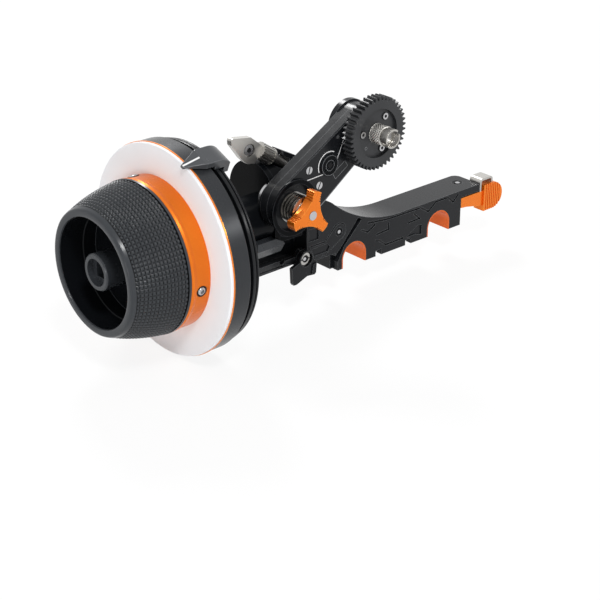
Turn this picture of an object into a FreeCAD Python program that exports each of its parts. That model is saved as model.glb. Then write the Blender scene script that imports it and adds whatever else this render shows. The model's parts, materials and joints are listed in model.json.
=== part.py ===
import FreeCAD, Part
import math
import os
import re
import Sketcher

# Follow focus unit for a camera on two 15 mm rods: a hand wheel drives a lens gear through a swing arm.
# Millimetres. X runs along the bridge bar, Y along the rods (away from the operator), Z is up.
# The origin lies midway between the two rod axes, at the middle of the bar's depth.
# "Forward" means towards -Y; pieces on the bar's front are laid out by their distance forward of the XZ
# plane.

V = FreeCAD.Vector
DOC = FreeCAD.newDocument("FollowFocusUnit")
SHEET = DOC.addObject("Spreadsheet::Sheet", "Sizes")

SIZES = {
    # rods and bridge bar
    "rod_x": 30.0, "arch_r": 8.2, "liner_r": 7.55,
    "bar_depth": 18.0, "bar_bottom": -4.4, "bar_top": 15.1, "bar_right": 60.5, "bar_corner": 4.0,
    "face_right": 46.5, "slab_under": 11.1, "leg_left": -42.7, "block_left": -61.5,
    "block_under": 5.6, "block_top": 36.6, "block_corner": 3.0, "swoosh_x": 2.0, "swoosh_r": 70.7,
    "swoosh_end_x": -44.0, "swoosh_end_z": 32.1, "crest_x": -55.0, "crest_r": 17.1,
    "slot_depth": 4.0, "notch_width": 4.0, "notch_tall": 3.0, "notch_deep": 7.0,
    "groove_deep": 0.7, "groove_width": 0.9,
    # lock plate on the bar's front
    "plate_x": -40.5, "plate_z": 16.6, "plate_r": 4.2, "plate_left": -59.6, "plate_low": 7.2,
    "plate_high": 13.6,
    "plate_back": 6.9, "plate_front": 9.2, "plate_gap": 0.5, "label_deep": 0.6,
    # dovetail rail under the gearbox
    "rail_top": 10.6, "rail_bottom": 5.2, "rail_top_width": 13.0, "rail_bottom_width": 9.5,
    "rail_left": -104.0, "rail_right": -46.0, "channel_end": -43.0, "rail_fit": 0.08,
    # rail lock lever
    "lock_x": -64.3, "lock_z": 9.7, "lock_r": 4.4, "lock_back": 9.1, "lock_front": 12.1,
    "lock_recess_r": 3.7, "lock_recess": 2.0, "lock_head": 0.9, "lock_pin_r": 2.0, "lug_back": 6.75,
    "paddle_back": 10.1, "lip_left": -77.5,
    # eject lever at the bar's right end
    "eject_x": 52.9, "eject_y": 0.3, "eject_r": 6.0, "eject_top": 10.8, "eject_bottom": 6.2,
    "eject_pin_r": 2.4, "eject_head_r": 2.9, "neck_back": 3.0, "neck_front": 9.0, "neck_left": 46.8,
    "pad_left": 63.3, "pad_x": 70.0, "pad_z": 6.4, "pad_r": 7.4, "pad_front": 10.0,
    "rib_pitch": 1.45, "rib_width": 0.7, "rib_deep": 0.5, "rib_count": 8,
    "strap_left": 60.8, "strap_right": 70.6, "strap_top": 17.5, "strap_gauge": 1.2, "strap_bend": 2.2,
    "strap_back": 1.5,
    # wheel axle
    "axle_y": 3.0, "axle_z": 31.8, "axle_r": 4.0,
    "tube_r": 12.2, "tube_bore": 8.0, "tube_front": -127.3, "tube_back": -82.0, "bearing_long": 5.0,
    "dial_r": 50.8, "dial_front": -140.0, "dial_back": -138.6, "dial_bore": 36.0, "trim_r": 51.1,
    "carrier_front": -138.0, "carrier_back": -128.5, "carrier_web": 4.0, "carrier_rim": 5.0,
    "index_front": -126.3, "index_back": -124.6, "index_bore": 20.0, "plate_hub_front": -127.0,
    "cover_front": -123.6, "cover_back": -121.8, "index_r": 49.6, "cover_r": 49.0,
    "collar_r": 36.3, "collar_front": -150.5, "collar_step": -143.2, "collar_turn": 10.0,
    "knob_front": -178.4, "knob_rear_r": 36.8, "knob_front_r": 29.5, "cup_r": 26.2, "cup_deep": 20.0,
    "socket_r": 8.85, "socket_front": -176.4, "socket_bore": 6.5, "socket_deep": 12.0,
    "socket_square": 3.4,
    # pointer on the index ring
    "pointer_tilt": 23.3, "pointer_half": 5.2, "pointer_clear": 51.5, "pointer_top": 54.5,
    "pointer_tip_x": -142.1, "pointer_tip_r": 52.0, "pointer_nose_x": -132.5, "pointer_back": -118.5,
    "pointer_heel": 46.0, "pointer_turn": 10.0,
    # gearbox
    "box_left": -82.0, "box_right": -64.2, "box_front": 8.5, "box_back": 23.5, "box_bottom": 21.6,
    "box_top": 58.5, "box_corner": 16.0, "flange_right": -79.0, "flange_out": 1.0, "flange_bore": 6.6,
    "foot_left": -98.0, "foot_front": 2.6, "foot_back": 6.5,
    "case_r": 8.5, "case_cavity": 7.2, "case_back": 4.3, "lid_back": 2.9, "boss_r": 5.0,
    "boss_front": 11.3,
    "cross_x": -72.5, "cross_shaft_r": 2.5, "bevel_bore": 7.6,
    # swing arm
    "pivot_x": -78.7, "pivot_z": 43.2, "arm_tilt": 32.7, "arm_reach": 52.8, "arm_back": 9.5,
    "arm_split": 14.25, "arm_front": 19.0, "arm_bevel": 0.6, "arm_hub_r": 13.5, "arm_end_r": 11.1,
    "gear_room": 9.95,
    "room_back": 11.5, "room_front": 15.9, "gear_back": 11.8, "gear_front": 15.6,
    "hub_ring_r": 14.0, "hub_ring_bore": 11.5, "hub_ring_front": 20.2, "hub_recess": 1.6,
    "stud_r": 2.2, "sleeve_r": 3.6, "run_fit": 0.05, "idler_pin_r": 2.0,
    "rear_cap_r": 12.0, "rear_cap_back": 6.0,
    # gears
    "gear_module": 0.8, "arm_teeth": 22, "lens_teeth": 43, "gear_backlash": 0.16, "spur_tip_r": 6.4,
    "spur_back": 4.6, "spur_front": 7.4, "bevel_pitch": 6.4, "bevel_face": 2.2,
    "lens_back": 23.0, "lens_front": 29.0, "lens_hub_r": 12.0, "lens_hub_front": 27.4, "out_shaft_r": 3.5,
    "lens_screw_ring": 9.0, "lens_screw_r": 1.6,
    # release nut, knob and dial on the arm
    "nut_r": 5.0, "nut_front": 39.0, "nut_bore": 2.5, "nut_slot": 1.6,
    "lobe_turn": 74.0, "lobe_long": 11.2, "lobe_half": 2.4, "lobe_tip_r": 6.0, "lobe_waist_r": 15.8,
    "lobe_back": 27.5, "lobe_front": 32.5, "grip_pitch": 1.1, "grip_width": 0.5, "grip_root": 2.0,
    "dial_along": 27.0, "dial_up": 1.1, "turn_dial_r": 5.4, "turn_dial_front": 19.8, "turn_pin_r": 2.0,
    # thumb tab
    "tab_left": -95.0, "tab_right": -78.3, "tab_under": 17.4, "tab_seat": 20.2, "tab_back": 2.7,
    "tab_wing": 9.8, "tab_front": 12.0, "tab_low": 22.2, "tab_high": 26.2, "tab_crest": 27.4,
    "serration_pitch": 1.2, "serration_count": 7,
    # clamp lever on the gearbox
    "clamp_x": -76.0, "clamp_y": 2.5, "clamp_z": 62.5, "clamp_slope": 34.6, "clamp_hub_r": 4.2,
    "clamp_hub_left": -7.0, "clamp_hub_right": 1.9, "clamp_neck_r": 2.4, "clamp_neck_end": 16.8,
    "clamp_seat": -2.9, "clamp_side": 4.4, "block_start": 12.2, "block_end": 16.3, "block_back": 5.5,
    "block_high": 6.2, "spline_deep": 0.6, "handle_half": 1.6, "handle_screw_r": 3.2,
    "handle_screw_along": -13.7, "handle_screw_up": -2.4,
}

for row, (alias, number) in enumerate(SIZES.items(), start=1):
    SHEET.set("A%d" % row, alias)
    SHEET.set("B%d" % row, repr(number))
    SHEET.setAlias("B%d" % row, alias)
DOC.recompute()

NODES = []


# ---------------------------------------------------------------- helpers

def bound(text):
    """The expression with the sheet's name before every alias (aliases are the words with an
    underscore)."""
    return re.sub(r"\b([a-z]+(?:_[a-z]+)+)\b", r"Sizes.\1", text)


def size(text):
    """The value of an expression over the sheet's aliases."""
    value = SHEET.evalExpression(text)
    return float(getattr(value, "Value", value))


def new_body(label, x="0", y="0", z="0", tilt=None, spin_x=None):
    """An empty body at (x, y, z); tilt raises its +X end in the XZ plane, spin_x turns it about X."""
    body = DOC.addObject("PartDesign::Body", label)
    body.Label = label
    if tilt:
        body.Placement = FreeCAD.Placement(V(), FreeCAD.Rotation(V(0, -1, 0), size(tilt)))
        body.setExpression("Placement.Rotation.Angle", bound(tilt))
    if spin_x:
        body.Placement = FreeCAD.Placement(V(), FreeCAD.Rotation(V(1, 0, 0), size(spin_x)))
        body.setExpression("Placement.Rotation.Angle", bound(spin_x))
    for axis, text in zip("xyz", (x, y, z)):
        body.setExpression("Placement.Base." + axis, bound(text))
    NODES.append(body)
    return body


def new_sketch(body, plane, offset="0"):
    """A sketch on one of the body's own origin planes, moved along the plane's normal."""
    origin_plane = [o for o in body.Origin.OriginFeatures if o.Role == plane + "_Plane"][0]
    sketch = body.newObject("Sketcher::SketchObject", body.Name + "_sketch")
    sketch.AttachmentSupport = [(origin_plane, "")]
    sketch.MapMode = "FlatFace"
    sketch.setExpression("AttachmentOffset.Base.z", bound(offset))
    return sketch


def pin_point(sketch, geometry, position, x, y):
    """Fix one point of a sketch at two expressions."""
    for kind, text in (("DistanceX", x), ("DistanceY", y)):
        index = sketch.addConstraint(Sketcher.Constraint(kind, -1, 1, geometry, position, size(text)))
        sketch.setExpression("Constraints[%d]" % index, bound(text))


def add_outline(sketch, points):
    """A closed outline: (x, y) ends a line, (x, y, radius, "left" or "right") ends an arc turning that
    way."""
    places = [(size(p[0]), size(p[1])) for p in points]
    count = len(points)
    first = sketch.GeometryCount
    starts = {}
    for i in range(count):
        here, there, spec = places[i], places[(i + 1) % count], points[(i + 1) % count]
        if len(spec) == 2:
            sketch.addGeometry(Part.LineSegment(V(here[0], here[1], 0), V(there[0], there[1], 0)), False)
            starts[i] = (1, 2)
            continue
        radius, left = size(spec[2]), spec[3] == "left"
        dx, dy = there[0] - here[0], there[1] - here[1]
        chord = math.hypot(dx, dy)
        rise = math.sqrt(max(radius ** 2 - chord ** 2 / 4, 0)) * (1 if left else -1)
        centre = V((here[0] + there[0]) / 2 - dy / chord * rise,
            (here[1] + there[1]) / 2 + dx / chord * rise, 0)
        ends = [math.atan2(p[1] - centre.y,
            p[0] - centre.x) for p in ((here, there) if left else (there, here))]
        circle = Part.Circle(centre, V(0, 0, 1), radius)
        sketch.addGeometry(Part.ArcOfCircle(circle, ends[0], ends[1]), False)
        starts[i] = (1, 2) if left else (2, 1)
    for i in range(count):
        j = (i + 1) % count
        sketch.addConstraint(Sketcher.Constraint("Coincident", first + i, starts[i][1], first + j,
            starts[j][0]))
    for i, point in enumerate(points):
        pin_point(sketch, first + i, starts[i][0], point[0], point[1])
        arc = points[(i + 1) % count]
        if len(arc) == 2:
            continue
        here, there = places[i], places[(i + 1) % count]
        if abs(math.dist(here, there) - 2 * size(arc[2])) > 1e-6:
            index = sketch.addConstraint(Sketcher.Constraint("Radius", first + i, size(arc[2])))
            sketch.setExpression("Constraints[%d]" % index, bound(arc[2]))
        else:
            level = abs(here[0] - there[0]) > abs(here[1] - there[1])
            kind, k = ("DistanceY", 1) if level else ("DistanceX", 0)
            middle = "(%s + %s) / 2" % (point[k], arc[k])
            index = sketch.addConstraint(Sketcher.Constraint(kind, -1, 1, first + i, 3, size(middle)))
            sketch.setExpression("Constraints[%d]" % index, bound(middle))


def add_circle(sketch, x, y, radius):
    """A circle whose centre and radius are expressions."""
    index = sketch.addGeometry(Part.Circle(V(size(x), size(y), 0), V(0, 0, 1), size(radius)), False)
    pin_point(sketch, index, 3, x, y)
    rule = sketch.addConstraint(Sketcher.Constraint("Radius", index, size(radius)))
    sketch.setExpression("Constraints[%d]" % rule, bound(radius))


def feature(body, kind, sketch):
    """A PartDesign feature on a sketch, not yet computed."""
    made = body.newObject("PartDesign::" + kind, body.Name + "_" + kind.lower())
    made.Profile = sketch
    sketch.Visibility = False
    return made


def pad(body, sketch, length, both=False, back=False):
    """Extrude a sketch along its normal, both ways from its plane, or backwards."""
    made = feature(body, "Pad", sketch)
    made.setExpression("Length", bound(length))
    made.Midplane = both
    made.Reversed = back
    DOC.recompute()
    return made


def pocket(body, sketch, depth, both=False, ahead=False):
    """Cut a sketch's shape against its normal, both ways, or ahead along it."""
    before = body.Shape.Volume
    made = feature(body, "Pocket", sketch)
    made.setExpression("Length", bound(depth))
    made.Midplane = both
    made.Reversed = ahead
    DOC.recompute()
    if not body.Shape.Volume < before - 1e-6:
        raise ValueError("%s: a pocket cuts nothing" % body.Label)
    return made


def spin(body, sketch, axis):
    """Revolve a sketch a full turn about its own horizontal ("H") or vertical ("V") axis."""
    made = feature(body, "Revolution", sketch)
    made.ReferenceAxis = (sketch, [axis + "_Axis"])
    made.Angle = 360
    DOC.recompute()
    return made


def around(body, cut, count, axis="N"):
    """Repeat a feature in a full circle about its sketch's normal or other axis."""
    before = body.Shape.Volume
    pattern = body.newObject("PartDesign::PolarPattern", body.Name + "_pattern")
    pattern.Originals = [cut]
    pattern.Axis = (cut.Profile[0], [axis + "_Axis"])
    pattern.Angle = 360
    pattern.setExpression("Occurrences", bound(count))
    body.Tip = pattern
    DOC.recompute()
    if body.Shape.Volume == before:
        raise ValueError("%s: a pattern changes nothing" % body.Label)
    return pattern


def round_edges(body, radius, wanted, kind="Fillet"):
    """Fillet or chamfer the edges whose bounding box passes the test."""
    base = body.Tip
    names = ["Edge%d" % number for number,
        edge in enumerate(base.Shape.Edges, start=1) if wanted(edge.BoundBox)]
    made = body.newObject("PartDesign::" + kind, body.Name + "_" + kind.lower())
    made.Base = (base, names)
    made.setExpression("Radius" if kind == "Fillet" else "Size", bound(radius))
    DOC.recompute()
    return made


def plate(label, points, back, front, **place):
    """A flat piece: an XZ outline between two distances forward of the body's XZ plane."""
    body = new_body(label, **place)
    sketch = new_sketch(body, "XZ", back)
    add_outline(sketch, points)
    pad(body, sketch, "(%s) - (%s)" % (front, back))
    return body


def front_cut(body, front, depth, outline=None, circles=()):
    """Cut outlines or circles backwards from a distance forward of the XZ plane."""
    sketch = new_sketch(body, "XZ", front)
    if outline:
        add_outline(sketch, outline)
    for x, z, radius in circles:
        add_circle(sketch, x, z, radius)
    return pocket(body, sketch, depth)


def front_add(body, back, length, outline=None, circles=()):
    """Add outlines or circles that grow forwards from a distance forward of the XZ plane."""
    sketch = new_sketch(body, "XZ", back)
    if outline:
        add_outline(sketch, outline)
    for x, z, radius in circles:
        add_circle(sketch, x, z, radius)
    return pad(body, sketch, length)


def turned_x(label, points, **place):
    """A piece turned about X; points are (along X, radius)."""
    body = new_body(label, **place)
    sketch = new_sketch(body, "XY")
    add_outline(sketch, points)
    spin(body, sketch, "H")
    return body


def turned_forward(label, points, **place):
    """A piece turned about Y; points are (radius, distance forward)."""
    body = new_body(label, **place)
    sketch = new_sketch(body, "XY")
    add_outline(sketch, [(p[0], "-(%s)" % p[1]) + tuple(p[2:]) for p in points])
    spin(body, sketch, "V")
    return body


def ring(a, b, inner, outer):
    """Outline of a ring's half section: from a to b along the axis, inner to outer radius."""
    return [(a, inner), (b, inner), (b, outer), (a, outer)]


def ring_forward(back, front, inner, outer):
    """The same section for a piece turned about Y."""
    return [(inner, back), (outer, back), (outer, front), (inner, front)]


AXLE = {"y": "axle_y", "z": "axle_z"}
PIVOT = {"x": "pivot_x", "z": "pivot_z"}
ARM = {"x": "pivot_x", "z": "pivot_z", "tilt": "arm_tilt"}
CLAMP = {"x": "clamp_x", "y": "clamp_y", "z": "clamp_z", "tilt": "-clamp_slope"}


def on_arm(step):
    """Placement of a gear on the arm's line, step gear pitches from the pivot."""
    return {
        "x": "pivot_x + cos(arm_tilt * 1 deg) * arm_reach * %d / 3" % step,
        "z": "pivot_z + sin(arm_tilt * 1 deg) * arm_reach * %d / 3" % step,
        "tilt": "arm_tilt",
    }


def capsule(x_a, z_a, r_a, x_b, z_b, r_b):
    """Outline round two circles joined by their outer tangents, as expressions worked out from the
    sizes."""
    ax, az, ar, bx, bz, br = (size(t) for t in (x_a, z_a, r_a, x_b, z_b, r_b))
    heading = math.atan2(bz - az, bx - ax)
    lean = math.acos((ar - br) / math.hypot(bx - ax, bz - az))

    def touch(x, z, radius, turn):
        angle = math.degrees(heading + turn * lean)
        return ("%s + (%s) * cos(%.6f deg)" % (x, radius, angle),
            "%s + (%s) * sin(%.6f deg)" % (z, radius, angle))

    return [
        touch(x_a, z_a, r_a, -1) + (r_a, "left"), touch(x_b, z_b, r_b, -1),
        touch(x_b, z_b, r_b, 1) + (r_b, "left"), touch(x_a, z_a, r_a, 1)]


# ---------------------------------------------------------------- bridge bar

def bridge_bar():
    """The bar that clamps on both rods, with the gearbox's dovetail channel in its left block."""
    body = plate("bridge_bar", [
        ("face_right", "bar_bottom"), ("face_right", "slab_under"), ("bar_right", "slab_under"),
        ("bar_right", "bar_top"), ("swoosh_x", "bar_top"),
        ("swoosh_end_x", "swoosh_end_z", "swoosh_r", "right"),
        ("crest_x", "block_top", "crest_r", "left"),
        ("block_left + block_corner", "block_top"),
        ("block_left", "block_top - block_corner", "block_corner", "left"),
        ("block_left", "block_under"), ("leg_left", "block_under"), ("leg_left", "bar_bottom"),
        ("-rod_x - arch_r", "bar_bottom"), ("-rod_x - arch_r", "0"),
        ("-rod_x + arch_r", "0", "arch_r", "right"),
        ("-rod_x + arch_r", "bar_bottom"), ("rod_x - arch_r", "bar_bottom"), ("rod_x - arch_r", "0"),
        ("rod_x + arch_r", "0", "arch_r", "right"), ("rod_x + arch_r", "bar_bottom"),
    ], "-bar_depth / 2", "bar_depth / 2")
    channel = new_sketch(body, "YZ", "block_left - 1")
    half_top, half_low = "rail_top_width / 2 + rail_fit", "rail_bottom_width / 2 + rail_fit"
    slope = "(rail_top_width - rail_bottom_width) / 2 / (rail_top - rail_bottom)"
    mouth = "%s - %s" % (half_low, slope)
    add_outline(channel, [
        ("-(%s)" % mouth, "rail_bottom - 1"), (mouth, "rail_bottom - 1"),
        (half_top, "rail_top"), (half_top, "rail_top + rail_fit"),
        ("-(%s)" % half_top, "rail_top + rail_fit"), ("-(%s)" % half_top, "rail_top"),
    ])
    pocket(body, channel, "channel_end - block_left + 1", ahead=True)
    front_cut(body, "bar_depth / 2", "bar_depth / 2 - plate_back + plate_gap",
        lock_plate_outline("plate_gap"))
    front_cut(body, "bar_depth / 2", "slot_depth", [
        ("-27.5", "20.6"), ("-38.6", "8.2"), ("leg_left - 1", "3"), ("leg_left - 1", "bar_bottom - 1"),
        ("-41", "bar_bottom - 1"), ("-41", "0"), ("-36.9", "7.6"), ("-25", "19")])
    front_cut(body, "bar_depth / 2", "groove_deep", [
        ("-60.2", "16.6"), ("-53.9", "16.6"), ("-53.9", "22.5"), ("-60.2", "23.1")])
    for notch_x in ("-13", "8"):
        front_cut(body, "bar_depth / 2", "notch_deep", [
            (notch_x + " - notch_width / 2", "bar_bottom - 1"),
            (notch_x + " + notch_width / 2", "bar_bottom - 1"),
            (notch_x + " + notch_width / 2", "bar_bottom + notch_tall"),
            (notch_x + " - notch_width / 2", "bar_bottom + notch_tall")])
    machined_lines(body)
    front_add(body, "lug_back", "bar_depth / 2 - lug_back", [
        ("block_left", "block_under"), ("block_left", "11.3"), ("lip_left + 1.8", "11.3"),
        ("lip_left", "9.6"),
        ("lip_left + 6", "8.4"), ("lock_x - 2", "block_under")])
    front_add(body, "lug_back", "bar_depth / 2 - lug_back", circles=[("lock_x", "lock_z", "lock_r")])
    pin_hole = new_sketch(body, "XY", "bar_top + 1")
    add_circle(pin_hole, "eject_x", "eject_y", "eject_head_r")
    pocket(body, pin_hole, "3")
    pin_hole = new_sketch(body, "XY", "bar_top")
    add_circle(pin_hole, "eject_x", "eject_y", "eject_pin_r")
    pocket(body, pin_hole, "bar_top - slab_under + 1")
    front_cut(body, "bar_depth / 2", "bar_depth / 2 - lug_back + 1",
        circles=[("lock_x", "lock_z", "lock_pin_r")])
    right, back = size("bar_right"), size("bar_depth / 2")
    round_edges(body, "bar_corner", lambda box: box.XMin > right - 0.01 and box.YMin > back - 0.01
                and box.ZLength > 1)


def ribbon(path, width):
    """Outline of a band of even width along a path of points, with square ends."""
    sides = ([], [])
    for i, (x, z) in enumerate(path):
        before, after = path[max(i - 1, 0)], path[min(i + 1, len(path) - 1)]
        headings = [math.atan2(b[1] - a[1], b[0] - a[0]) for a,
            b in ((before, (x, z)), ((x, z), after)) if a != b]
        half_turn = (headings[-1] - headings[0]) / 2
        across = headings[0] + half_turn + math.pi / 2
        reach = width / 2 / math.cos(half_turn)
        for side, hand in zip(sides, (1, -1)):
            side.append(("%.4f" % (x + hand * reach * math.cos(across)),
                "%.4f" % (z + hand * reach * math.sin(across))))
    return sides[0] + sides[1][::-1]


def machined_lines(body):
    """The angular lines and the pocket milled into the bar's front."""
    sketch = new_sketch(body, "XZ", "bar_depth / 2")
    for path in (
        [(-21, 15.6), (-6, 13.9), (16.5, 13.6), (22.3, 9.9), (27.6, 13.9), (36.4, 13.9), (40.6, 10.2),
            (44.6, 13.9)],
        [(-25.2, 13.1), (-20.9, 10.8), (-15.6, 13.6)],
        [(-14.9, 7.6), (-6.3, 8.1), (-6.3, 12.0)],
        [(7.4, 7.6), (15.7, 7.9), (11.6, 11.6)],
        [(-15.4, 4.4), (-12.1, 3.4), (-8.1, 0.2), (4.6, 0.2)],
    ):
        add_outline(sketch, ribbon(path, SIZES["groove_width"]))
    add_outline(sketch,
        [("6.6", "-0.2"), ("13.2", "-0.2"), ("17.6", "-1.4"), ("17.6", "3.9"), ("14.7", "4.5")])
    pocket(body, sketch, "groove_deep")


def lock_plate_outline(grow):
    """Outline of the lock plate, grown evenly round its screw end: a wide foot, a neck and a round
    end."""
    radius = "plate_r + " + grow
    low, high = "plate_low - " + grow, "plate_high + " + grow
    return [
        ("plate_left", low), ("-49.2", low),
        ("plate_x + (%s) * cos(-52 deg)" % radius, "plate_z + (%s) * sin(-52 deg)" % radius),
        ("plate_x + (%s) * cos(128 deg)" % radius, "plate_z + (%s) * sin(128 deg)" % radius, radius,
            "left"),
        ("-49.6", high), ("plate_left", high)]


def rod_liners():
    """The bright half-round liners that touch the rods."""
    for name, x in (("rod_liner_left", "-rod_x"), ("rod_liner_right", "rod_x")):
        plate(name, [
            ("arch_r", "bar_bottom"), ("arch_r", "0"), ("-arch_r", "0", "arch_r", "left"),
            ("-arch_r", "bar_bottom"), ("-liner_r", "bar_bottom"), ("-liner_r", "0"),
            ("liner_r", "0", "liner_r", "right"), ("liner_r", "bar_bottom"),
        ], "-bar_depth / 2", "bar_depth / 2", x=x)


def bar_pins():
    """Two cross pins that show in the notches under the bar."""
    for name, notch_x in (("bar_pin_left", "-13"), ("bar_pin_right", "8")):
        body = new_body(name, x=notch_x)
        sketch = new_sketch(body, "YZ")
        add_circle(sketch, "-bar_depth / 2 + 3.5", "bar_bottom + 1.6", "1.2")
        pad(body, sketch, "notch_width", both=True)


def lock_plate():
    """The raised plate beside the rail lock, with a sunk blank label and a screw."""
    body = plate("lock_plate", lock_plate_outline("0"), "plate_back", "plate_front")
    front_cut(body, "plate_front", "label_deep", [
        ("-58.4", "8.4"), ("-48.2", "8.4"), ("-46.6", "10.4"), ("-48.2", "12.6"), ("-58.4", "12.2")])
    front_cut(body, "plate_front", "1.2", circles=[("plate_x", "plate_z", "2.2")])
    plate_screw = turned_forward("plate_screw",
        ring_forward("plate_front - 1.2", "plate_front - 0.1", "0", "2.2"),
                                 x="plate_x", z="plate_z")
    front_cut(plate_screw, "plate_front", "0.5", [
        ("-1.8", "-0.3"), ("1.8", "-0.3"), ("1.8", "0.3"), ("-1.8", "0.3")])


def rail_lock():
    """The short lever that clamps the rail, hanging below its boss, and its slotted pivot screw."""
    body = turned_forward("lock_lever",
        ring_forward("lock_back", "lock_front", "lock_pin_r + run_fit", "lock_r"),
                          x="lock_x", z="lock_z")
    front_add(body, "paddle_back", "lock_front - paddle_back", [
        ("-9.4", "-2.4"), ("-9.0", "-10.4"), ("-8.4", "-11.4"), ("-6.5", "-11.5"), ("0.3", "-8.9"),
        ("5.2", "-9.4"),
        ("6.1", "-8.4"), ("6.6", "-2.6"), ("3.4", "0"), ("-3.4", "0")])
    front_add(body, "lock_front", "0.7", [
        ("2.9", "-8.4"), ("5.4", "-8.4"), ("5.8", "-3.0"), ("3.6", "-3.6")])
    front_cut(body, "lock_front", "lock_recess", circles=[("0", "0", "lock_recess_r")])
    screw = turned_forward("lock_screw", [
        ("0", "lug_back"), ("lock_pin_r", "lug_back"),
        ("lock_pin_r", "lock_front - lock_recess + run_fit"),
        ("lock_recess_r - 0.5", "lock_front - lock_recess + run_fit"),
        ("lock_recess_r - 0.5", "lock_front - lock_recess + lock_head"),
        ("0", "lock_front - lock_recess + lock_head")], x="lock_x", z="lock_z")
    front_cut(screw, "lock_front - lock_recess + lock_head", "0.6", [
        ("-2.6", "-0.4"), ("2.6", "-0.4"), ("2.6", "0.4"), ("-2.6", "0.4")])


# ---------------------------------------------------------------- eject lever

def eject_lever():
    """The bright thumb lever under the slab, its ribbed pad at the right."""
    body = plate("eject_lever", [
        ("neck_left", "5"), ("neck_left + 4", "4.6"), ("pad_left", "2"), ("pad_left", "pad_z - pad_r"),
        ("pad_x", "pad_z - pad_r"),
        ("pad_x", "pad_z + pad_r", "pad_r", "left"), ("pad_left", "pad_z + pad_r"),
        ("pad_left", "eject_top - 0.4"), ("neck_left", "eject_top - 0.4"),
    ], "neck_back", "neck_front")
    pivot = new_sketch(body, "XY", "eject_bottom")
    add_outline(pivot, [
        ("eject_x - eject_r", "-neck_back - 1"), ("eject_x + eject_r", "-neck_back - 1"),
        ("eject_x + eject_r", "eject_y"), ("eject_x - eject_r", "eject_y", "eject_r", "left")])
    pad(body, pivot, "eject_top - eject_bottom - 0.4")
    front_add(body, "neck_front - 1", "pad_front - neck_front + 1", [
        ("pad_left", "pad_z - pad_r"), ("pad_x", "pad_z - pad_r"),
        ("pad_x", "pad_z + pad_r", "pad_r", "left"),
        ("pad_left", "pad_z + pad_r")])
    first_rib = "pad_left + 1.2"
    rib = front_cut(body, "pad_front", "rib_deep", [
        (first_rib, "pad_z - pad_r"), (first_rib + " + rib_width", "pad_z - pad_r"),
        (first_rib + " + rib_width", "pad_z + pad_r"), (first_rib, "pad_z + pad_r")])
    ribs = body.newObject("PartDesign::LinearPattern", "eject_lever_ribs")
    ribs.Originals = [rib]
    ribs.Direction = (rib.Profile[0], ["H_Axis"])
    ribs.setExpression("Length", bound("rib_pitch * (rib_count - 1)"))
    ribs.setExpression("Occurrences", bound("rib_count"))
    body.Tip = ribs
    DOC.recompute()
    hole = new_sketch(body, "XY", "eject_top")
    add_circle(hole, "eject_x", "eject_y", "eject_pin_r + run_fit")
    pocket(body, hole, "eject_top - eject_bottom + 1")
    pin = new_body("eject_pin", x="eject_x", y="eject_y")
    sketch = new_sketch(pin, "XY", "eject_bottom - 0.3")
    add_circle(sketch, "0", "0", "eject_pin_r")
    pad(pin, sketch, "bar_top - 2 - eject_bottom + 0.3")
    head = new_sketch(pin, "XY", "bar_top - 2")
    add_circle(head, "0", "0", "eject_head_r")
    pad(pin, head, "1.9")
    slot = new_sketch(pin, "XY", "bar_top")
    add_outline(slot, [("-2.3", "-0.35"), ("2.3", "-0.35"), ("2.3", "0.35"), ("-2.3", "0.35")])
    pocket(pin, slot, "0.7")


def latch_strap():
    """The bent strap whose legs stand on the lever's neck and on its pad."""
    inner = "strap_bend - strap_gauge"
    neck_top, pad_top, under = "eject_top - 0.4", "pad_z + pad_r", "strap_top - strap_gauge"
    plate("latch_strap", [
        ("strap_left", neck_top), ("strap_left + strap_gauge", neck_top),
        ("strap_left + strap_gauge", "strap_top - strap_bend"),
        ("strap_left + strap_bend", under, inner, "right"), ("strap_right - strap_bend", under),
        ("strap_right - strap_gauge", "strap_top - strap_bend", inner, "right"),
        ("strap_right - strap_gauge", pad_top), ("strap_right", pad_top),
        ("strap_right", "strap_top - strap_bend"),
        ("strap_right - strap_bend", "strap_top", "strap_bend", "left"),
        ("strap_left + strap_bend", "strap_top"),
        ("strap_left", "strap_top - strap_bend", "strap_bend", "left")], "strap_back", "neck_front")


# ---------------------------------------------------------------- gearbox

def dovetail_rail():
    """The rail that carries the gearbox and slides in the bar's channel."""
    body = new_body("dovetail_rail")
    section = new_sketch(body, "YZ", "rail_left")
    half_top, half_low = "rail_top_width / 2", "rail_bottom_width / 2"
    add_outline(section,
        [("-" + half_low, "rail_bottom"), (half_low, "rail_bottom"), (half_top, "rail_top"),
                          ("-" + half_top, "rail_top")])
    pad(body, section, "rail_right - rail_left")
    end = new_sketch(body, "XY", "rail_top")
    add_outline(end, [
        ("rail_left - 1", "-rail_top_width / 2 - 1"), ("rail_left + 5", "-rail_top_width / 2 - 1"),
        ("rail_left", "-1.5"), ("rail_left - 1", "-1.5")])
    pocket(body, end, "rail_top - rail_bottom + 1")
    front_cut(body, half_top, "1.9", [
        ("rail_left + 6", "6.6"), ("rail_right + 1", "6.6"), ("rail_right + 1", "7.5"),
        ("rail_left + 6", "7.5")])


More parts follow.
